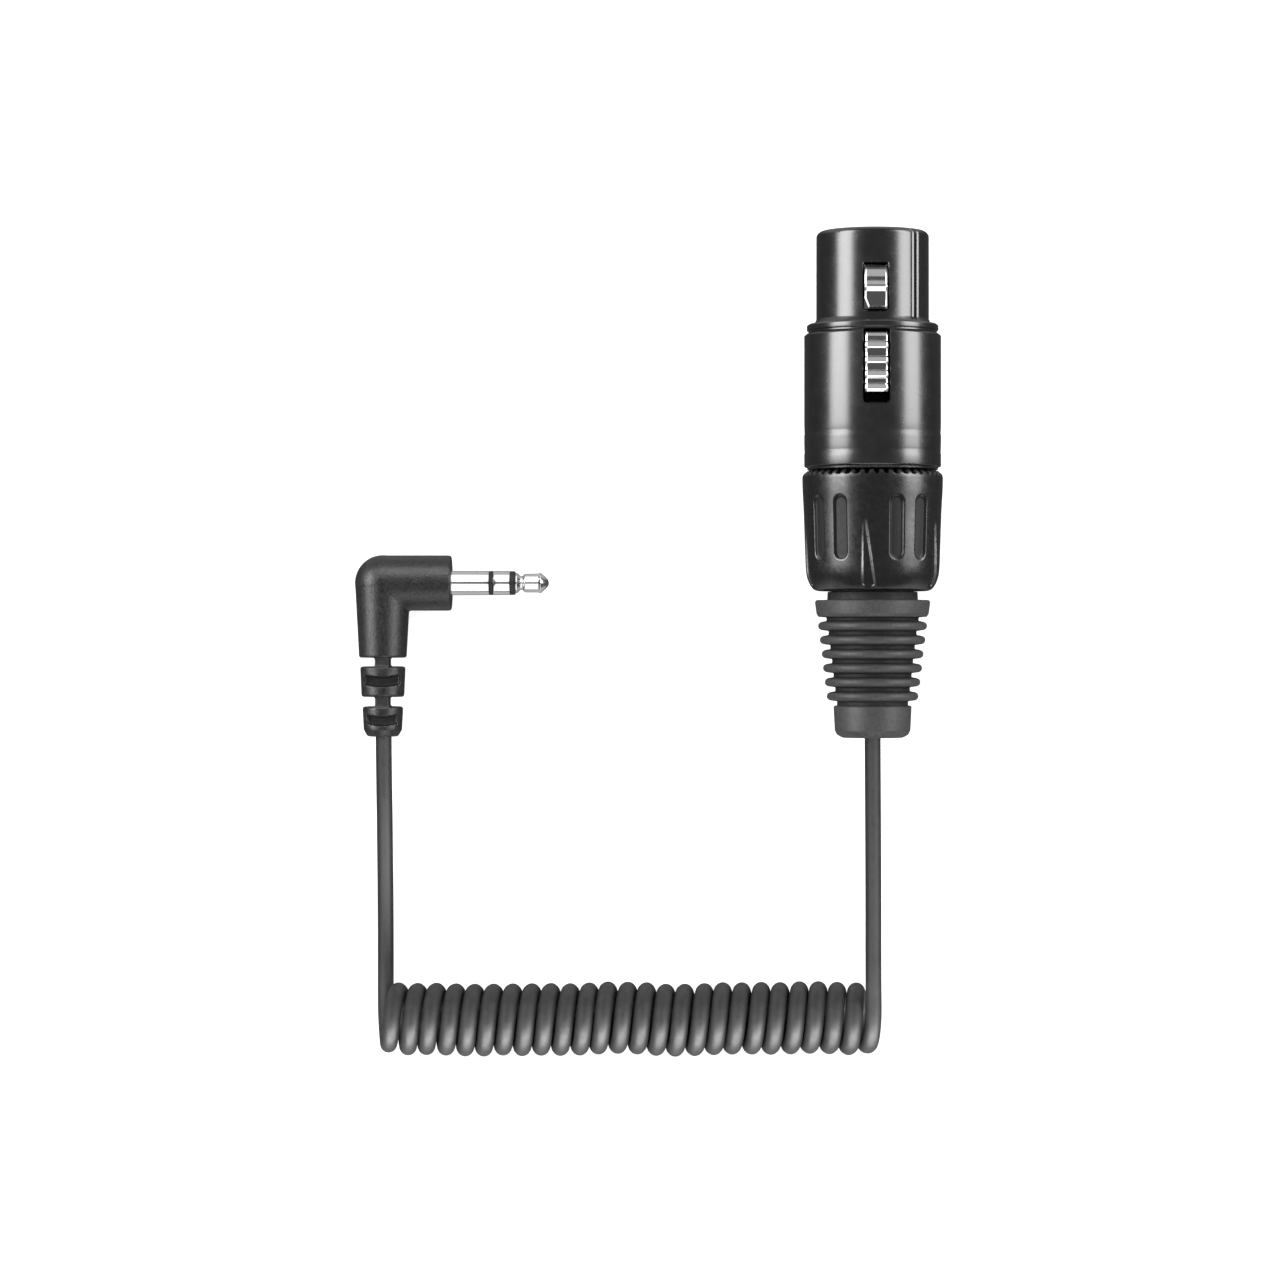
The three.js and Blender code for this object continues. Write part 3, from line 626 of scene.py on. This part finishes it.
# insulator with its three holes and lever channel
insert = xlr_lathe(
    "insulator_block",
    [(0, 0.4), (6.6, 0.4, 0.2), (7.02, 0.8, 0.15), (7.02, 15.05), (7.85, 15.05, 0.1), (7.85, 26.8, 0.2), (0, 26.8)],
    segs=96,
    closed=False,
)
cuts = [local(-1.95, 1.95, 3.8, 28, 4.1, 9, bevel=0.3)]
for deg in (30, 150, 270):
    cx, cz = 4.1 * math.cos(math.radians(deg)), 4.1 * math.sin(math.radians(deg))
    cuts.append(
        lathe("cutter", [(0, -1.0), (1.75, -1.0), (1.75, 0.40), (1.32, 0.85), (1.32, 1.5), (1.66, 1.5), (1.66, 28), (0, 28)], XLR + Vector((cx, 0, cz)), (0, -1, 0), (0, 0, 1), 40, closed=False, fillets=False)
    )
cuts.append(lathe("cutter", [(0, -3.2), (0.62, -3.2), (0.62, 3.2), (0, 3.2)], XLR + Vector((0, -24.8, 5.9)), (1, 0, 0), (0, 0, 1), 24, closed=False, fillets=False))
cuts.append(lathe("cutter", [(0, 1.5), (1.4, 1.5), (1.4, 5), (0, 5)], XLR + Vector((0, -18, 0)), (0, 0, 1), (1, 0, 0), 24, closed=False, fillets=False))
for s in (-1, 1):
    cuts.append(local(min(s * 6.05, s * 8.2), max(s * 6.05, s * 8.2), 24.9, 27, -1.35, 1.35))
cuts.append(local(-6.5, -3.2, 15.8, 24.2, -8, -5.35))
boolean(insert, cuts)
finish_piece(insert, "insulator", "connector", "insulator", "xlr_insert", angle=30)

for i, deg in enumerate((30, 150, 270)):
    c = XLR + Vector((4.1 * math.cos(math.radians(deg)), 0, 4.1 * math.sin(math.radians(deg))))
    contact = lathe(
        f"socket_contact_{i + 1}",
        [(1.22, 1.62, 0.06), (1.45, 1.62, 0.1), (1.6, 1.95, 0.1), (1.6, 20, 0.1), (1.35, 20.4, 0.1), (1.35, 30, 0.08), (0.95, 30, 0.05), (0.95, 27.4), (0.0, 27.4), (0.0, 13.5), (1.2, 13.5), (1.2, 1.8)],
        c, (0, -1, 0), (0, 0, 1), 48, steps=2,
    )
    boolean(contact, [box_mesh("cutter", c.x - 0.2, c.x + 0.2, c.y - 9, c.y - 1, c.z - 2, c.z + 2)])
    finish_piece(contact, "gold", "connector", "contact", f"xlr_contact_{i + 1}", angle=30)

# ---------------------------------------------------------------- latch lever
def lever_top():
    """(u, z) along the upper side: stepped thumb ribs, then the drop to the hook."""
    pts = [(23.36, 6.9), (23.36, 9.55)]
    for u in (23.20, 21.36, 19.40, 17.31):  # each step: steep bright back edge, short slope, level floor
        pts += [(u, 9.66), (u - 0.07, 9.75), (u - 0.25, 9.885), (u - 0.34, 9.91), (u - 0.82, 9.79), (u - 1.00, 9.56)]
        pts += [(u - 1.70, 9.56)] if u > 18 else [(15.60, 9.56)]
    pts += [(15.3, 9.5), (15.0, 9.3), (14.85, 9.0), (14.85, 6.4)]
    pts += [(11.62, 6.4), (11.66, 7.90), (11.60, 8.02), (11.28, 8.24), (9.18, 8.26), (9.10, 8.30), (8.70, 8.60), (8.58, 8.66), (8.42, 8.66), (8.26, 8.28)]
    pts += [(7.25, 8.26), (6.95, 8.22), (6.55, 8.10), (6.05, 7.88), (5.60, 7.60), (5.35, 7.30), (5.35, 5.5)]
    return pts


lever_profile = [(25.0, 5.0), (25.8, 5.5), (25.8, 6.3), (25.0, 6.9)] + lever_top() + [(14.4, 5.4), (22.6, 5.4)]
bm = bmesh.new()
cols = []
for x, drop in ((-1.63, 0.20), (-1.34, 0.0), (1.34, 0.0), (1.63, 0.20)):
    cols.append([bm.verts.new(((XLR.x + x) * MM, (XLR.y - u) * MM, (XLR.z + z - (drop if z > 7.4 else 0)) * MM)) for u, z in lever_profile])
n = len(lever_profile)
bm.faces.new(cols[0])
bm.faces.new(list(reversed(cols[3])))
for p, q in zip(cols, cols[1:]):
    for i in range(n):
        bm.faces.new((p[i], q[i], q[(i + 1) % n], p[(i + 1) % n]))
bmesh.ops.recalc_face_normals(bm, faces=bm.faces)
me = bpy.data.meshes.new("lever_chrome")
bm.to_mesh(me)
bm.free()
lever = new_object("lever_chrome", me)
# the hook's tail is narrowed on one side, as cast
nib = box_mesh("cutter", XLR.x - 2.3, XLR.x - 1.25, XLR.y - 12.4, XLR.y - 10.0, XLR.z + 7.4, XLR.z + 9)
c = Vector((XLR.x - 1.7, XLR.y - 11.2, 0)) * MM
nib.data.transform(Matrix.Translation(c) @ Matrix.Rotation(math.radians(22), 4, "Z") @ Matrix.Translation(-c))
# and its long edge there is chamfered like the others
cross = [(0.30, 8.27), (-0.06, 8.02), (-0.06, 9.2), (0.30, 9.2)]
dx, dy, nx, ny = 0.375, -0.927, 0.927, 0.375
vs = [(XLR.x - 1.73 + dx * t + nx * a_, XLR.y - 9.92 + dy * t + ny * a_, XLR.z + z) for t in (0.0, 2.6) for a_, z in cross]
edge_cut = new_object("cutter", mesh_of("cutter", vs, [(0, 1, 2, 3), (7, 6, 5, 4), (0, 4, 5, 1), (1, 5, 6, 2), (2, 6, 7, 3), (3, 7, 4, 0)]))
eye = lathe("cutter", [(0, -3), (0.66, -3), (0.66, 3), (0, 3)], XLR + Vector((0, -24.8, 5.9)), (1, 0, 0), (0, 0, 1), 32, closed=False, fillets=False)
boolean(lever, [nib, edge_cut, eye])
bevel(lever, 0.05, 2, 40)
apply_modifiers(lever)
# painted shade: the lever's parts low under the shell, behind the window, are coloured dark and made duller
shade(lever, lambda p: 1.0 if p.z - XLR.z < 7.3 and XLR.y - p.y > 12 else 0.0)
finish_piece(lever, "chrome", "latch", "latch_chrome", "latch_lever", angle=25)

# the small spring under it, carried with the lever as one fixed coil; on the real plug its seat stays put, so it
# shortens towards the lever as the lever is pressed
turns_s, per_s = 4, 20
s_line, s_rad = [], []
for i in range(turns_s * per_s + 1):
    a = 2 * math.pi * i / per_s
    s_line.append((XLR.x + 0.93 * math.cos(a), XLR.y - 18 + 0.93 * math.sin(a), XLR.z + 1.77 + (5.13 - 1.77) * i / (turns_s * per_s)))
    s_rad.append(0.17)
spring = tube_along("latch_spring_coil", s_line, s_rad, 8)
finish_piece(spring, "steel", "latch", "pin_steel", "latch_spring", angle=50)
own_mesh(spring)

# ---------------------------------------------------------------- collar
FLUTE_TAIL, FLUTE_SLOT, TEETH = -6.9, 24.3, 44
collar_line = [(34.10, 9.30), (34.30, 9.55), (34.50, 9.80), (34.75, 9.94), (35.1, 10.0), (35.8, 9.985), (36.8, 9.955), (38.2, 9.88), (39.9, 9.79), (42.2, 9.71), (44.4, 9.64), (46.4, 9.57), (47.8, 9.51), (48.7, 9.43), (49.3, 9.30), (49.8, 9.12), (50.3, 8.88), (50.7, 8.60), (50.95, 8.34), (51.10, 8.02), (51.15, 7.7)]


def interp(table, u):
    if u <= table[0][0]:
        return table[0][1]
    for (a, ra), (b, rb) in zip(table, table[1:]):
        if u <= b:
            return ra + (rb - ra) * (u - a) / (b - a)
    return table[-1][1]


def collar_cut(deg, u, r):
    """How deep the grips are cut at this place on the collar, mm."""
    cut = 0.0
    for i in range(5):
        tail = FLUTE_TAIL + 72 * i
        d = (deg - tail + 180) % 360 - 180
        arc = math.radians(d) * r
        # pointed flute: half width grows from nothing
        if 40.8 < u < 51.3:
            t = min(1.0, max(0.0, (u - 41.0) / 9.4))
            half = 0.14 + 0.76 * t ** 0.8
            half *= 1 - soft(50.1, 51.2, u)
            depth = (0.18 + 0.16 * t) * soft(40.9, 41.9, u) * (1 - soft(50.2, 51.0, u))
            if half > 0.03:
                cut = max(cut, depth * (1 - soft(half - 0.24, half + 0.18, abs(arc + 0.62 * (1 - t)))))
        for s in (-FLUTE_SLOT, FLUTE_SLOT):
            d2 = (deg - tail - s + 180) % 360 - 180
            arc2 = math.radians(d2) * r
            top, bottom = 38.80, 45.70
            v = 0.0 if top < u < bottom else min(abs(u - top), abs(u - bottom))
            dist = math.hypot(arc2, v)
            cut = max(cut, 0.34 * (1 - soft(0.80, 1.14, dist)))
    return cut


def collar_mesh():
    segs = 600
    us = []
    u = 34.10
    while u < 35.2:
        us.append(u)
        u += 0.12
    for end, step in ((37.3, 0.55), (39.2, 0.17), (45.3, 0.45), (47.1, 0.17), (49.8, 0.32), (51.1, 0.16)):
        while u < end - 0.02:
            us.append(u)
            u += step
    us.append(51.15)
    verts, faces, rings = [], [], []

    def ring(f):
        start = len(verts)
        for k in range(segs):
            deg = 360.0 * k / segs
            r, uu = f(deg)
            a = math.radians(deg)
            verts.append((XLR.x + r * math.sin(a), XLR.y - uu, XLR.z + r * math.cos(a)))
        rings.append(list(range(start, start + segs)))

    # bore side first, from the back to the nose
    for r, uu in ((6.0, 51.15), (6.0, 48.6), (6.8, 48.55), (6.8, 45.2), (5.3, 44.0), (7.1, 37.1), (7.1, 27.85), (7.2, 27.75), (7.5, 27.75), (7.7, 28.0), (7.7, 34.0), (7.8, 34.1)):
        ring(lambda deg, r=r, uu=uu: (r, uu))
    for uu in us:
        def f(deg, uu=uu):
            r = interp(collar_line, uu)
            # small rounded teeth round the front edge
            tooth = abs(((deg * TEETH / 360.0) % 1.0) - 0.5) * 2  # 1 at a gap
            gap = soft(0.30, 0.95, tooth) * (1 - soft(34.35, 34.85, uu))
            return r - collar_cut(deg, uu, r) - 0.30 * gap, uu + 0.42 * gap
        ring(f)
    for p, q in zip(rings, rings[1:]):
        for k in range(segs):
            j = (k + 1) % segs
            faces.append((p[k], q[k], q[j], p[j]))
    p, q = rings[-1], rings[0]
    for k in range(segs):
        j = (k + 1) % segs
        faces.append((p[k], q[k], q[j], p[j]))
    return new_object("collar_screwed", mesh_of("collar_screwed", verts, faces))


collar = collar_mesh()
# the nose's thread
thread = thread_ridge(28.5, 3.1875, (7.55, 0.50), (8.35, 0.17), 7.72)
boolean(collar, [thread], "UNION")


def slot_floor(p):
    dx, dz, u = p.x - XLR.x, p.z - XLR.z, XLR.y - p.y
    r = math.hypot(dx, dz)
    if not 37 < u < 47 or r < 9:
        return 0.0
    deg = math.degrees(math.atan2(dx, dz))
    return 0.85 * min(1.0, max(0.0, (collar_cut(deg, u, r) - 0.19) / 0.12)) if u < 46.9 and not is_tail(deg, u, r) else 0.0


def is_tail(deg, u, r):
    return any(abs(math.radians((deg - FLUTE_TAIL - 72 * i + 180) % 360 - 180)) * r < 1.4 for i in range(5))


# painted highlight: marks the flute walls, strongest in their middle stretch and weaker at the front and back, where
# the colour is brightened
def flute_wall_painted_highlight(p):
    dx, dz, u = p.x - XLR.x, p.z - XLR.z, XLR.y - p.y
    r = math.hypot(dx, dz)
    if not 41.0 < u < 50.6 or r < 8.5:
        return 0.0
    t = min(1.0, max(0.0, (u - 41.0) / 9.4))
    half = 0.14 + 0.76 * t ** 0.8
    deg = math.degrees(math.atan2(dx, dz))
    for i in range(5):
        arc = math.radians((deg - FLUTE_TAIL - 72 * i + 180) % 360 - 180) * r
        v = abs(abs(arc + 0.62 * (1 - t)) - half + 0.02)
        if v < 0.22:
            return (1 - soft(0.14, 0.22, v)) * (0.3 * soft(41.0, 42.0, u) + 0.7 * soft(42.5, 45.5, u)) * (1 - 0.7 * soft(48.8, 50.6, u))
    return 0.0


# the grip slots' floors get a darker, duller finish; the flute walls get a painted highlight
shade(collar, slot_floor)
shade(collar, flute_wall_painted_highlight, "edge")
finish_piece(collar, "satin_black", "collar", "collar_metal", "collar_nut", angle=50)

# ---------------------------------------------------------------- rubber boot
ribs = [(56.1, 7.74), (58.1, 7.49), (60.1, 7.23), (62.1, 7.04), (64.1, 6.79), (66.1, 6.51)]
valleys = [6.55, 6.25, 6.0, 5.75, 5.55, 5.3, 5.05]
boot_line = [
    (6.6, 45.5, 0.2), (6.6, 48.4, 0.1), (5.85, 48.4), (5.85, 51.25), (6.40, 51.25, 0.1), (6.45, 52.42, 0.1), (8.05, 52.42, 0.18), (8.20, 52.75, 0.2),
    (7.98, 54.35, 0.2), (7.72, 54.80, 0.18), (valleys[0], 54.90, 0.12),
]
for i, (u, r) in enumerate(ribs):
    boot_line += [(valleys[i], u - 0.72, 0.12), (r - 0.52, u - 0.60, 0.1)]
    boot_line += [(r - 0.50 + 0.50 * math.cos(math.radians(v)), u + 0.56 * math.sin(math.radians(v))) for v in range(-75, 76, 15)]
    boot_line += [(r - 0.52, u + 0.60, 0.1), (valleys[i + 1], u + 0.72, 0.12)]
boot_line += [
    (valleys[6], 67.42, 0.1), (5.42, 67.44, 0.10), (5.55, 67.62, 0.1), (5.38, 71.0, 0.5), (5.05, 71.6, 0.4), (4.3, 72.0, 0.4), (2.9, 72.0, 0.3), (1.45, 71.75, 0.15), (1.42, 71.4), (1.42, 56), (5.0, 45.5, 0.2),
]
boot = xlr_lathe("boot_ribbed", boot_line, segs=112, steps=3)


# painted shade: darker, duller colour in the valleys between the ribs and on the step just behind the collar's end
def boot_painted_shade(p):
    u, r = XLR.y - p.y, math.hypot(p.x - XLR.x, p.z - XLR.z)
    if 51.1 < u < 52.45 and r < 6.7:
        return 0.75
    if 54.85 < u < 67.4:
        k = min(ribs, key=lambda q: abs(q[0] - u))
        return soft(0.15, 0.85, (k[1] - r) / 1.2) * 0.95
    return 0.0


shade(boot, boot_painted_shade)
finish_piece(boot, "rubber", "collar", "boot_rubber", "rubber_boot", angle=50)

# ---------------------------------------------------------------- angled plug: elbow and strain relief
parts = [
    lathe("elbow", [(0, -9.9), (3.99, -9.9), (3.99, -0.32, 0.1), (3.92, -0.10, 0.1), (3.66, 0.0, 0.12), (0, 0)], (FACE_X, JY, JZ), (1, 0, 0), (0, 0, 1), 72, closed=False),
    lathe("cut", [(0, -4.02)] + [(4.02 * math.cos(math.radians(a)), 4.02 * math.sin(math.radians(a))) for a in range(-86, 87, 4)] + [(0, 4.02)], (JX, JY, JZ), (0, 1, 0), (0, 0, 1), 72, closed=False, fillets=False),
    lathe("cut", [(0, 0), (3.995, 0), (3.43, 10.55, 0.2), (3.25, 10.75, 0.1), (0, 10.75)], (JX, JY, JZ), (0, -1, 0), (0, 0, 1), 72, closed=False),
]
body = parts[0]
boolean(body, parts[1:], "UNION")
relief = lathe(
    "relief",
    [(0, 10.0), (1.02, 10.0), (1.02, 11.99), (2.95, 11.99, 0.1), (3.26, 12.15, 0.25), (3.08, 16.20, 0.25), (2.85, 16.38, 0.1), (1.02, 16.38), (1.02, 17.75), (2.65, 17.75, 0.1), (2.92, 17.92, 0.25), (2.76, 21.1, 0.55), (2.2, 22.08, 0.45), (1.35, 22.1, 0.1), (0, 22.1)],
    (JX, JY, JZ), (0, -1, 0), (0, 0, 1), 72, closed=False,
)
spine = [
    box_mesh("cut", JX - 1.0, JX + 1.0, -26.2, -24.4, JZ - 2.9, JZ + 2.9),
    box_mesh("cut", JX - 0.98, JX + 0.98, -31.9, -30.1, JZ - 2.6, JZ + 2.6),
]
boolean(relief, spine, "UNION")
notch = []
for y0, y1, w in ((-28.6, -27.15, 2.5), (-34.2, -32.85, 2.2)):
    for z0, z1 in ((JZ + 1.25, 9.0), (-1.0, JZ - 1.25)):
        # a flat-floored notch across the face, its front edge following the round body
        n_ = 14
        loop = [(JX - w, y1 + 0.05)] + [(JX - w + 2 * w * i / n_, y0 - 0.34 * math.sin(math.pi * i / n_) + 0.12) for i in range(n_ + 1)] + [(JX + w, y1 + 0.05)]
        loop += [(JX + w - 2 * w * i / n_, y1 - 0.22 * math.sin(math.pi * i / n_)) for i in range(1, n_)]
        vs = [(x, y, z0) for x, y in loop] + [(x, y, z1) for x, y in loop]
        k = len(loop)
        fs = [tuple(range(k)), tuple(range(2 * k - 1, k - 1, -1))] + [(i, i + k, (i + 1) % k + k, (i + 1) % k) for i in range(k)]
        cutter = new_object("cut", mesh_of("cut", vs, fs))
        notch.append(cutter)
boolean(relief, notch)
boolean(body, [relief], "UNION")
hollow = [
    lathe("cut", [(0, -11.4), (2.75, -11.4), (2.75, -0.5), (1.8, -0.5), (1.8, 1), (0, 1)], (FACE_X, JY, JZ), (1, 0, 0), (0, 0, 1), 48, closed=False, fillets=False),
    lathe("cut", [(0, 1.6), (0.88, 4.1), (0.88, 20.4), (1.19, 20.6), (1.19, 23), (0, 23)], (JX, JY, JZ), (0, -1, 0), (0, 0, 1), 32, closed=False, fillets=False),
]
m = body.modifiers.new("soft", "REMESH")
m.mode = "VOXEL"
m.voxel_size = 0.13 * MM
m.use_smooth_shade = True
m = body.modifiers.new("ease", "SMOOTH")
m.factor = 0.5
m.iterations = 3
apply_modifiers(body)
m = body.modifiers.new("fewer", "DECIMATE")
m.ratio = 0.45
apply_modifiers(body)
boolean(body, hollow)
body.name = "elbow_moulding"


# painted shade: darker, duller colour on the floors of the relief's notches and on its spines
def relief_painted_shade(p):
    if p.y > -26.8 and p.y < -24.9 and abs(p.x - JX) < 1.6 or p.y > -31.7 and p.y < -30.4 and abs(p.x - JX) < 1.6:
        return 0.45
    for y0, y1, w in ((-28.85, -27.3, 2.4), (-34.4, -33.0, 2.1)):
        if y0 < p.y < y1 and abs(p.x - JX) < w and abs(p.z - JZ) < 2.3:
            return 0.85 * soft(0.0, 0.35, w - abs(p.x - JX)) * soft(2.3, 1.7, abs(p.z - JZ))
    return 0.0


shade(body, relief_painted_shade)
finish_piece(body, "mould", "connector", "jack_mould", "jack_plug_body", angle=50)


def pin(name, profile, mat, node, closed=True):
    o = lathe(name, profile, (FACE_X, JY, JZ), (1, 0, 0), (0, 0, 1), 64, closed=closed, steps=2)
    slots = {"nickel": "plug_plating", "insulator": "insulator"}
    return finish_piece(o, mat, "connector", slots[mat], node, angle=32)


pin("plug_sleeve", [(1.26, -2.4), (1.75, -2.4), (1.75, -1.4), (2.6, -1.4), (2.6, -0.6), (1.75, -0.6), (1.75, 5.38, 0.05), (1.26, 5.38)], "nickel", "jack_sleeve")
pin("plug_band_rear", [(1.0, -3.4), (1.2, -3.4), (1.2, 5.42), (1.74, 5.42, 0.03), (1.74, 5.98, 0.03), (1.0, 5.98)], "insulator", "jack_insulator_rear")
pin("plug_ring", [(0.77, -4.4), (0.95, -4.4), (0.95, 6.02), (1.75, 6.02, 0.05), (1.75, 8.38, 0.05), (0.77, 8.38)], "nickel", "jack_ring_contact")
pin("plug_band_front", [(0.55, -5.0), (0.72, -5.0), (0.72, 8.42), (1.74, 8.42, 0.03), (1.70, 9.18, 0.05), (0.55, 9.18)], "insulator", "jack_insulator_front")
pin("plug_tip", [(0, -6.0), (0.5, -6.0), (0.5, 9.22), (1.52, 9.22, 0.05), (1.48, 9.42, 0.08), (1.02, 9.90, 0.12), (1.02, 10.2, 0.12), (1.36, 10.52, 0.12), (1.38, 12.50, 0.2), (1.50, 12.80, 0.12), (0.85, 13.55, 0.15), (0.42, 13.92, 0.2), (0, 14.0)], "nickel", "jack_tip_contact", closed=False)

# ---------------------------------------------------------------- carried-over CAD pieces
for node, mat in {
    "xlr_solder_1": "solder", "xlr_solder_2": "solder", "xlr_solder_3": "solder", "xlr_wire_1": "copper", "xlr_wire_2": "wire_red", "xlr_wire_3": "wire_white",
    "xlr_cable_end": "cord", "xlr_ground_clip": "gold", "latch_pivot_pin": "steel", "cable_chuck": "white_plastic",
    "jack_lug_sleeve": "gold", "jack_lug_ring": "gold", "jack_lug_tip": "gold", "jack_inner_mould": "white_plastic", "jack_cable_end": "cord",
    "jack_wire_tip": "wire_white", "jack_wire_ring": "wire_red", "jack_wire_sleeve": "copper",
}.items():
    o = frame["nodes"][node]
    for s in o.material_slots:
        s.material = M[mat]

# ---------------------------------------------------------------- floor and light
bm = bmesh.new()
bmesh.ops.create_grid(bm, x_segments=2, y_segments=2, size=3.0)
me = bpy.data.meshes.new("floor")
bm.to_mesh(me)
bm.free()
floor = new_object("floor", me)
floor.location = (0, 0, -0.00002)
fm = bpy.data.materials.new("floor_pale")
fm.use_nodes = True
fb = fm.node_tree.nodes["Principled BSDF"]
fb.inputs["Base Color"].default_value = (0.93, 0.93, 0.93, 1)
fb.inputs["Roughness"].default_value = 0.9
fb.inputs["Specular IOR Level"].default_value = 0.1
fb.inputs["Emission Color"].default_value = (1, 1, 1, 1)
fb.inputs["Emission Strength"].default_value = 0.76
floor.data.materials.append(fm)
floor.visible_glossy = False

world = bpy.data.worlds.new("studio")
scene.world = world
world.use_nodes = True
wn, wl = world.node_tree.nodes, world.node_tree.links
wn.clear()
w_out = wn.new("ShaderNodeOutputWorld")
w_path = wn.new("ShaderNodeLightPath")
w_room, w_dark, w_seen = [wn.new("ShaderNodeBackground") for _ in range(3)]
w_room.inputs["Strength"].default_value = ROOM
w_dark.inputs["Strength"].default_value = DARK
w_seen.inputs["Strength"].default_value = 1.0
for w_ in (w_room, w_dark, w_seen):
    w_.inputs["Color"].default_value = (1, 1, 1, 1)
mix1, mix2 = wn.new("ShaderNodeMixShader"), wn.new("ShaderNodeMixShader")
# what shiny things see below them along the Y direction is the pale table, elsewhere the dark room
w_dir = wn.new("ShaderNodeTexCoord")
w_sep = wn.new("ShaderNodeSeparateXYZ")
wl.new(w_dir.outputs["Generated"], w_sep.inputs["Vector"])
w_abs = wn.new("ShaderNodeMath")
w_abs.operation = "ABSOLUTE"
wl.new(w_sep.outputs["Y"], w_abs.inputs[0])
w_y = wn.new("ShaderNodeMapRange")
w_y.interpolation_type = "SMOOTHSTEP"
w_y.inputs["From Min"].default_value = 0.30
w_y.inputs["From Max"].default_value = 0.75
wl.new(w_abs.outputs["Value"], w_y.inputs["Value"])
w_z = wn.new("ShaderNodeMapRange")
w_z.interpolation_type = "SMOOTHSTEP"
w_z.inputs["From Min"].default_value = 0.25
w_z.inputs["From Max"].default_value = -0.05
wl.new(w_sep.outputs["Z"], w_z.inputs["Value"])
w_m = wn.new("ShaderNodeMath")
w_m.operation = "MULTIPLY"
wl.new(w_y.outputs["Result"], w_m.inputs[0])
wl.new(w_z.outputs["Result"], w_m.inputs[1])
w_s = wn.new("ShaderNodeMath")
w_s.operation = "MULTIPLY_ADD"
wl.new(w_m.outputs["Value"], w_s.inputs[0])
w_s.inputs[1].default_value = 0.42
w_s.inputs[2].default_value = DARK
wl.new(w_s.outputs["Value"], w_dark.inputs["Strength"])
wl.new(w_path.outputs["Is Glossy Ray"], mix1.inputs["Fac"])
wl.new(w_room.outputs["Background"], mix1.inputs[1])
wl.new(w_dark.outputs["Background"], mix1.inputs[2])
wl.new(w_path.outputs["Is Camera Ray"], mix2.inputs["Fac"])
wl.new(mix1.outputs["Shader"], mix2.inputs[1])
wl.new(w_seen.outputs["Background"], mix2.inputs[2])
wl.new(mix2.outputs["Shader"], w_out.inputs["Surface"])


def panel(name, toward, lo, hi, across, radiance, distance=1.2, offset=0.0, glossy=True, diffuse=True):
    """A soft light facing the object, lo to hi degrees from straight up on one side (toward), across metres wide."""
    mid, half = math.radians((lo + hi) / 2), math.radians((hi - lo) / 2)
    t = Vector(toward)
    side = Vector((-t.y, t.x, 0))
    d = bpy.data.lights.new(name, "AREA")
    d.shape = "RECTANGLE"
    d.size, d.size_y = across, 2 * distance * math.tan(half)
    d.energy = radiance * math.pi * d.size * d.size_y
    o = bpy.data.objects.new(name, d)
    direction = t * math.sin(mid) + Vector((0, 0, math.cos(mid)))
    o.location = direction * distance + side * offset
    z = direction.normalized()
    x = side.normalized()
    y = z.cross(x)
    o.rotation_euler = Matrix((x, y, z)).transposed().to_euler()
    coll.objects.link(o)
    o.visible_glossy = glossy
    o.visible_diffuse = diffuse
    o.visible_camera = False
    return o


def only(light, *objects):
    c = bpy.data.collections.new(light.name + "_lights")
    for o in objects:
        c.objects.link(o)
    light.light_linking.receiver_collection = c


pin_parts = [o for o in coll.objects if o.name.startswith("plug_")]
everything_else = [o for o in scene.objects if o.type == "MESH" and o is not cord]
only(panel("left", (-1, 0, 0), 44, 78, 1.3, 3.9, offset=-0.62), *everything_else)
only(panel("right", (1, 0, 0), 52, 82, 1.3, 3.4, offset=0.62), *everything_else)
only(panel("left_cord", (-1, 0, 0), 20, 74, 2.0, 1.1), cord)
only(panel("right_cord", (1, 0, 0), 20, 74, 2.0, 1.1), cord)
only(panel("left_matt", (-1, 0, 0), 36, 70, 1.3, 3.5, diffuse=False), body, boot)
only(panel("right_matt", (1, 0, 0), 36, 70, 1.3, 2.6, diffuse=False), body, boot)
only(panel("back_matt", (0, 1, 0), 30, 66, 0.9, 3.6, diffuse=False), body)
only(panel("front_cord", (0, -1, 0), 38, 86, 2.4, 10.5, offset=0.45, diffuse=False), cord)
only(panel("front_matt", (0, -1, 0), 38, 76, 0.9, 2.0, offset=0.25), body, boot)
only(panel("front_latch", (0, -1, 0), 40, 110, 0.9, 1.7, diffuse=False), lever)
only(panel("front_metal", (0, -1, 0), 32, 58, 1.5, 1.7, diffuse=False), shell)
only(panel("left_latch", (-1, 0, 0), 48, 84, 1.3, 1.5, diffuse=False), lever)
only(panel("right_latch", (1, 0, 0), 48, 84, 1.3, 1.5, diffuse=False), lever)
only(panel("back_latch", (0, 1, 0), 22, 60, 0.9, 0.38, diffuse=False), lever)
only(panel("front_pin", (0, -1, 0), 9, 84, 1.0, 1.3, diffuse=False), *pin_parts)
only(panel("back_pin", (0, 1, 0), 9, 84, 1.0, 1.3, diffuse=False), *pin_parts)

scene.view_settings.view_transform = "Standard"
scene.view_settings.look = "None"
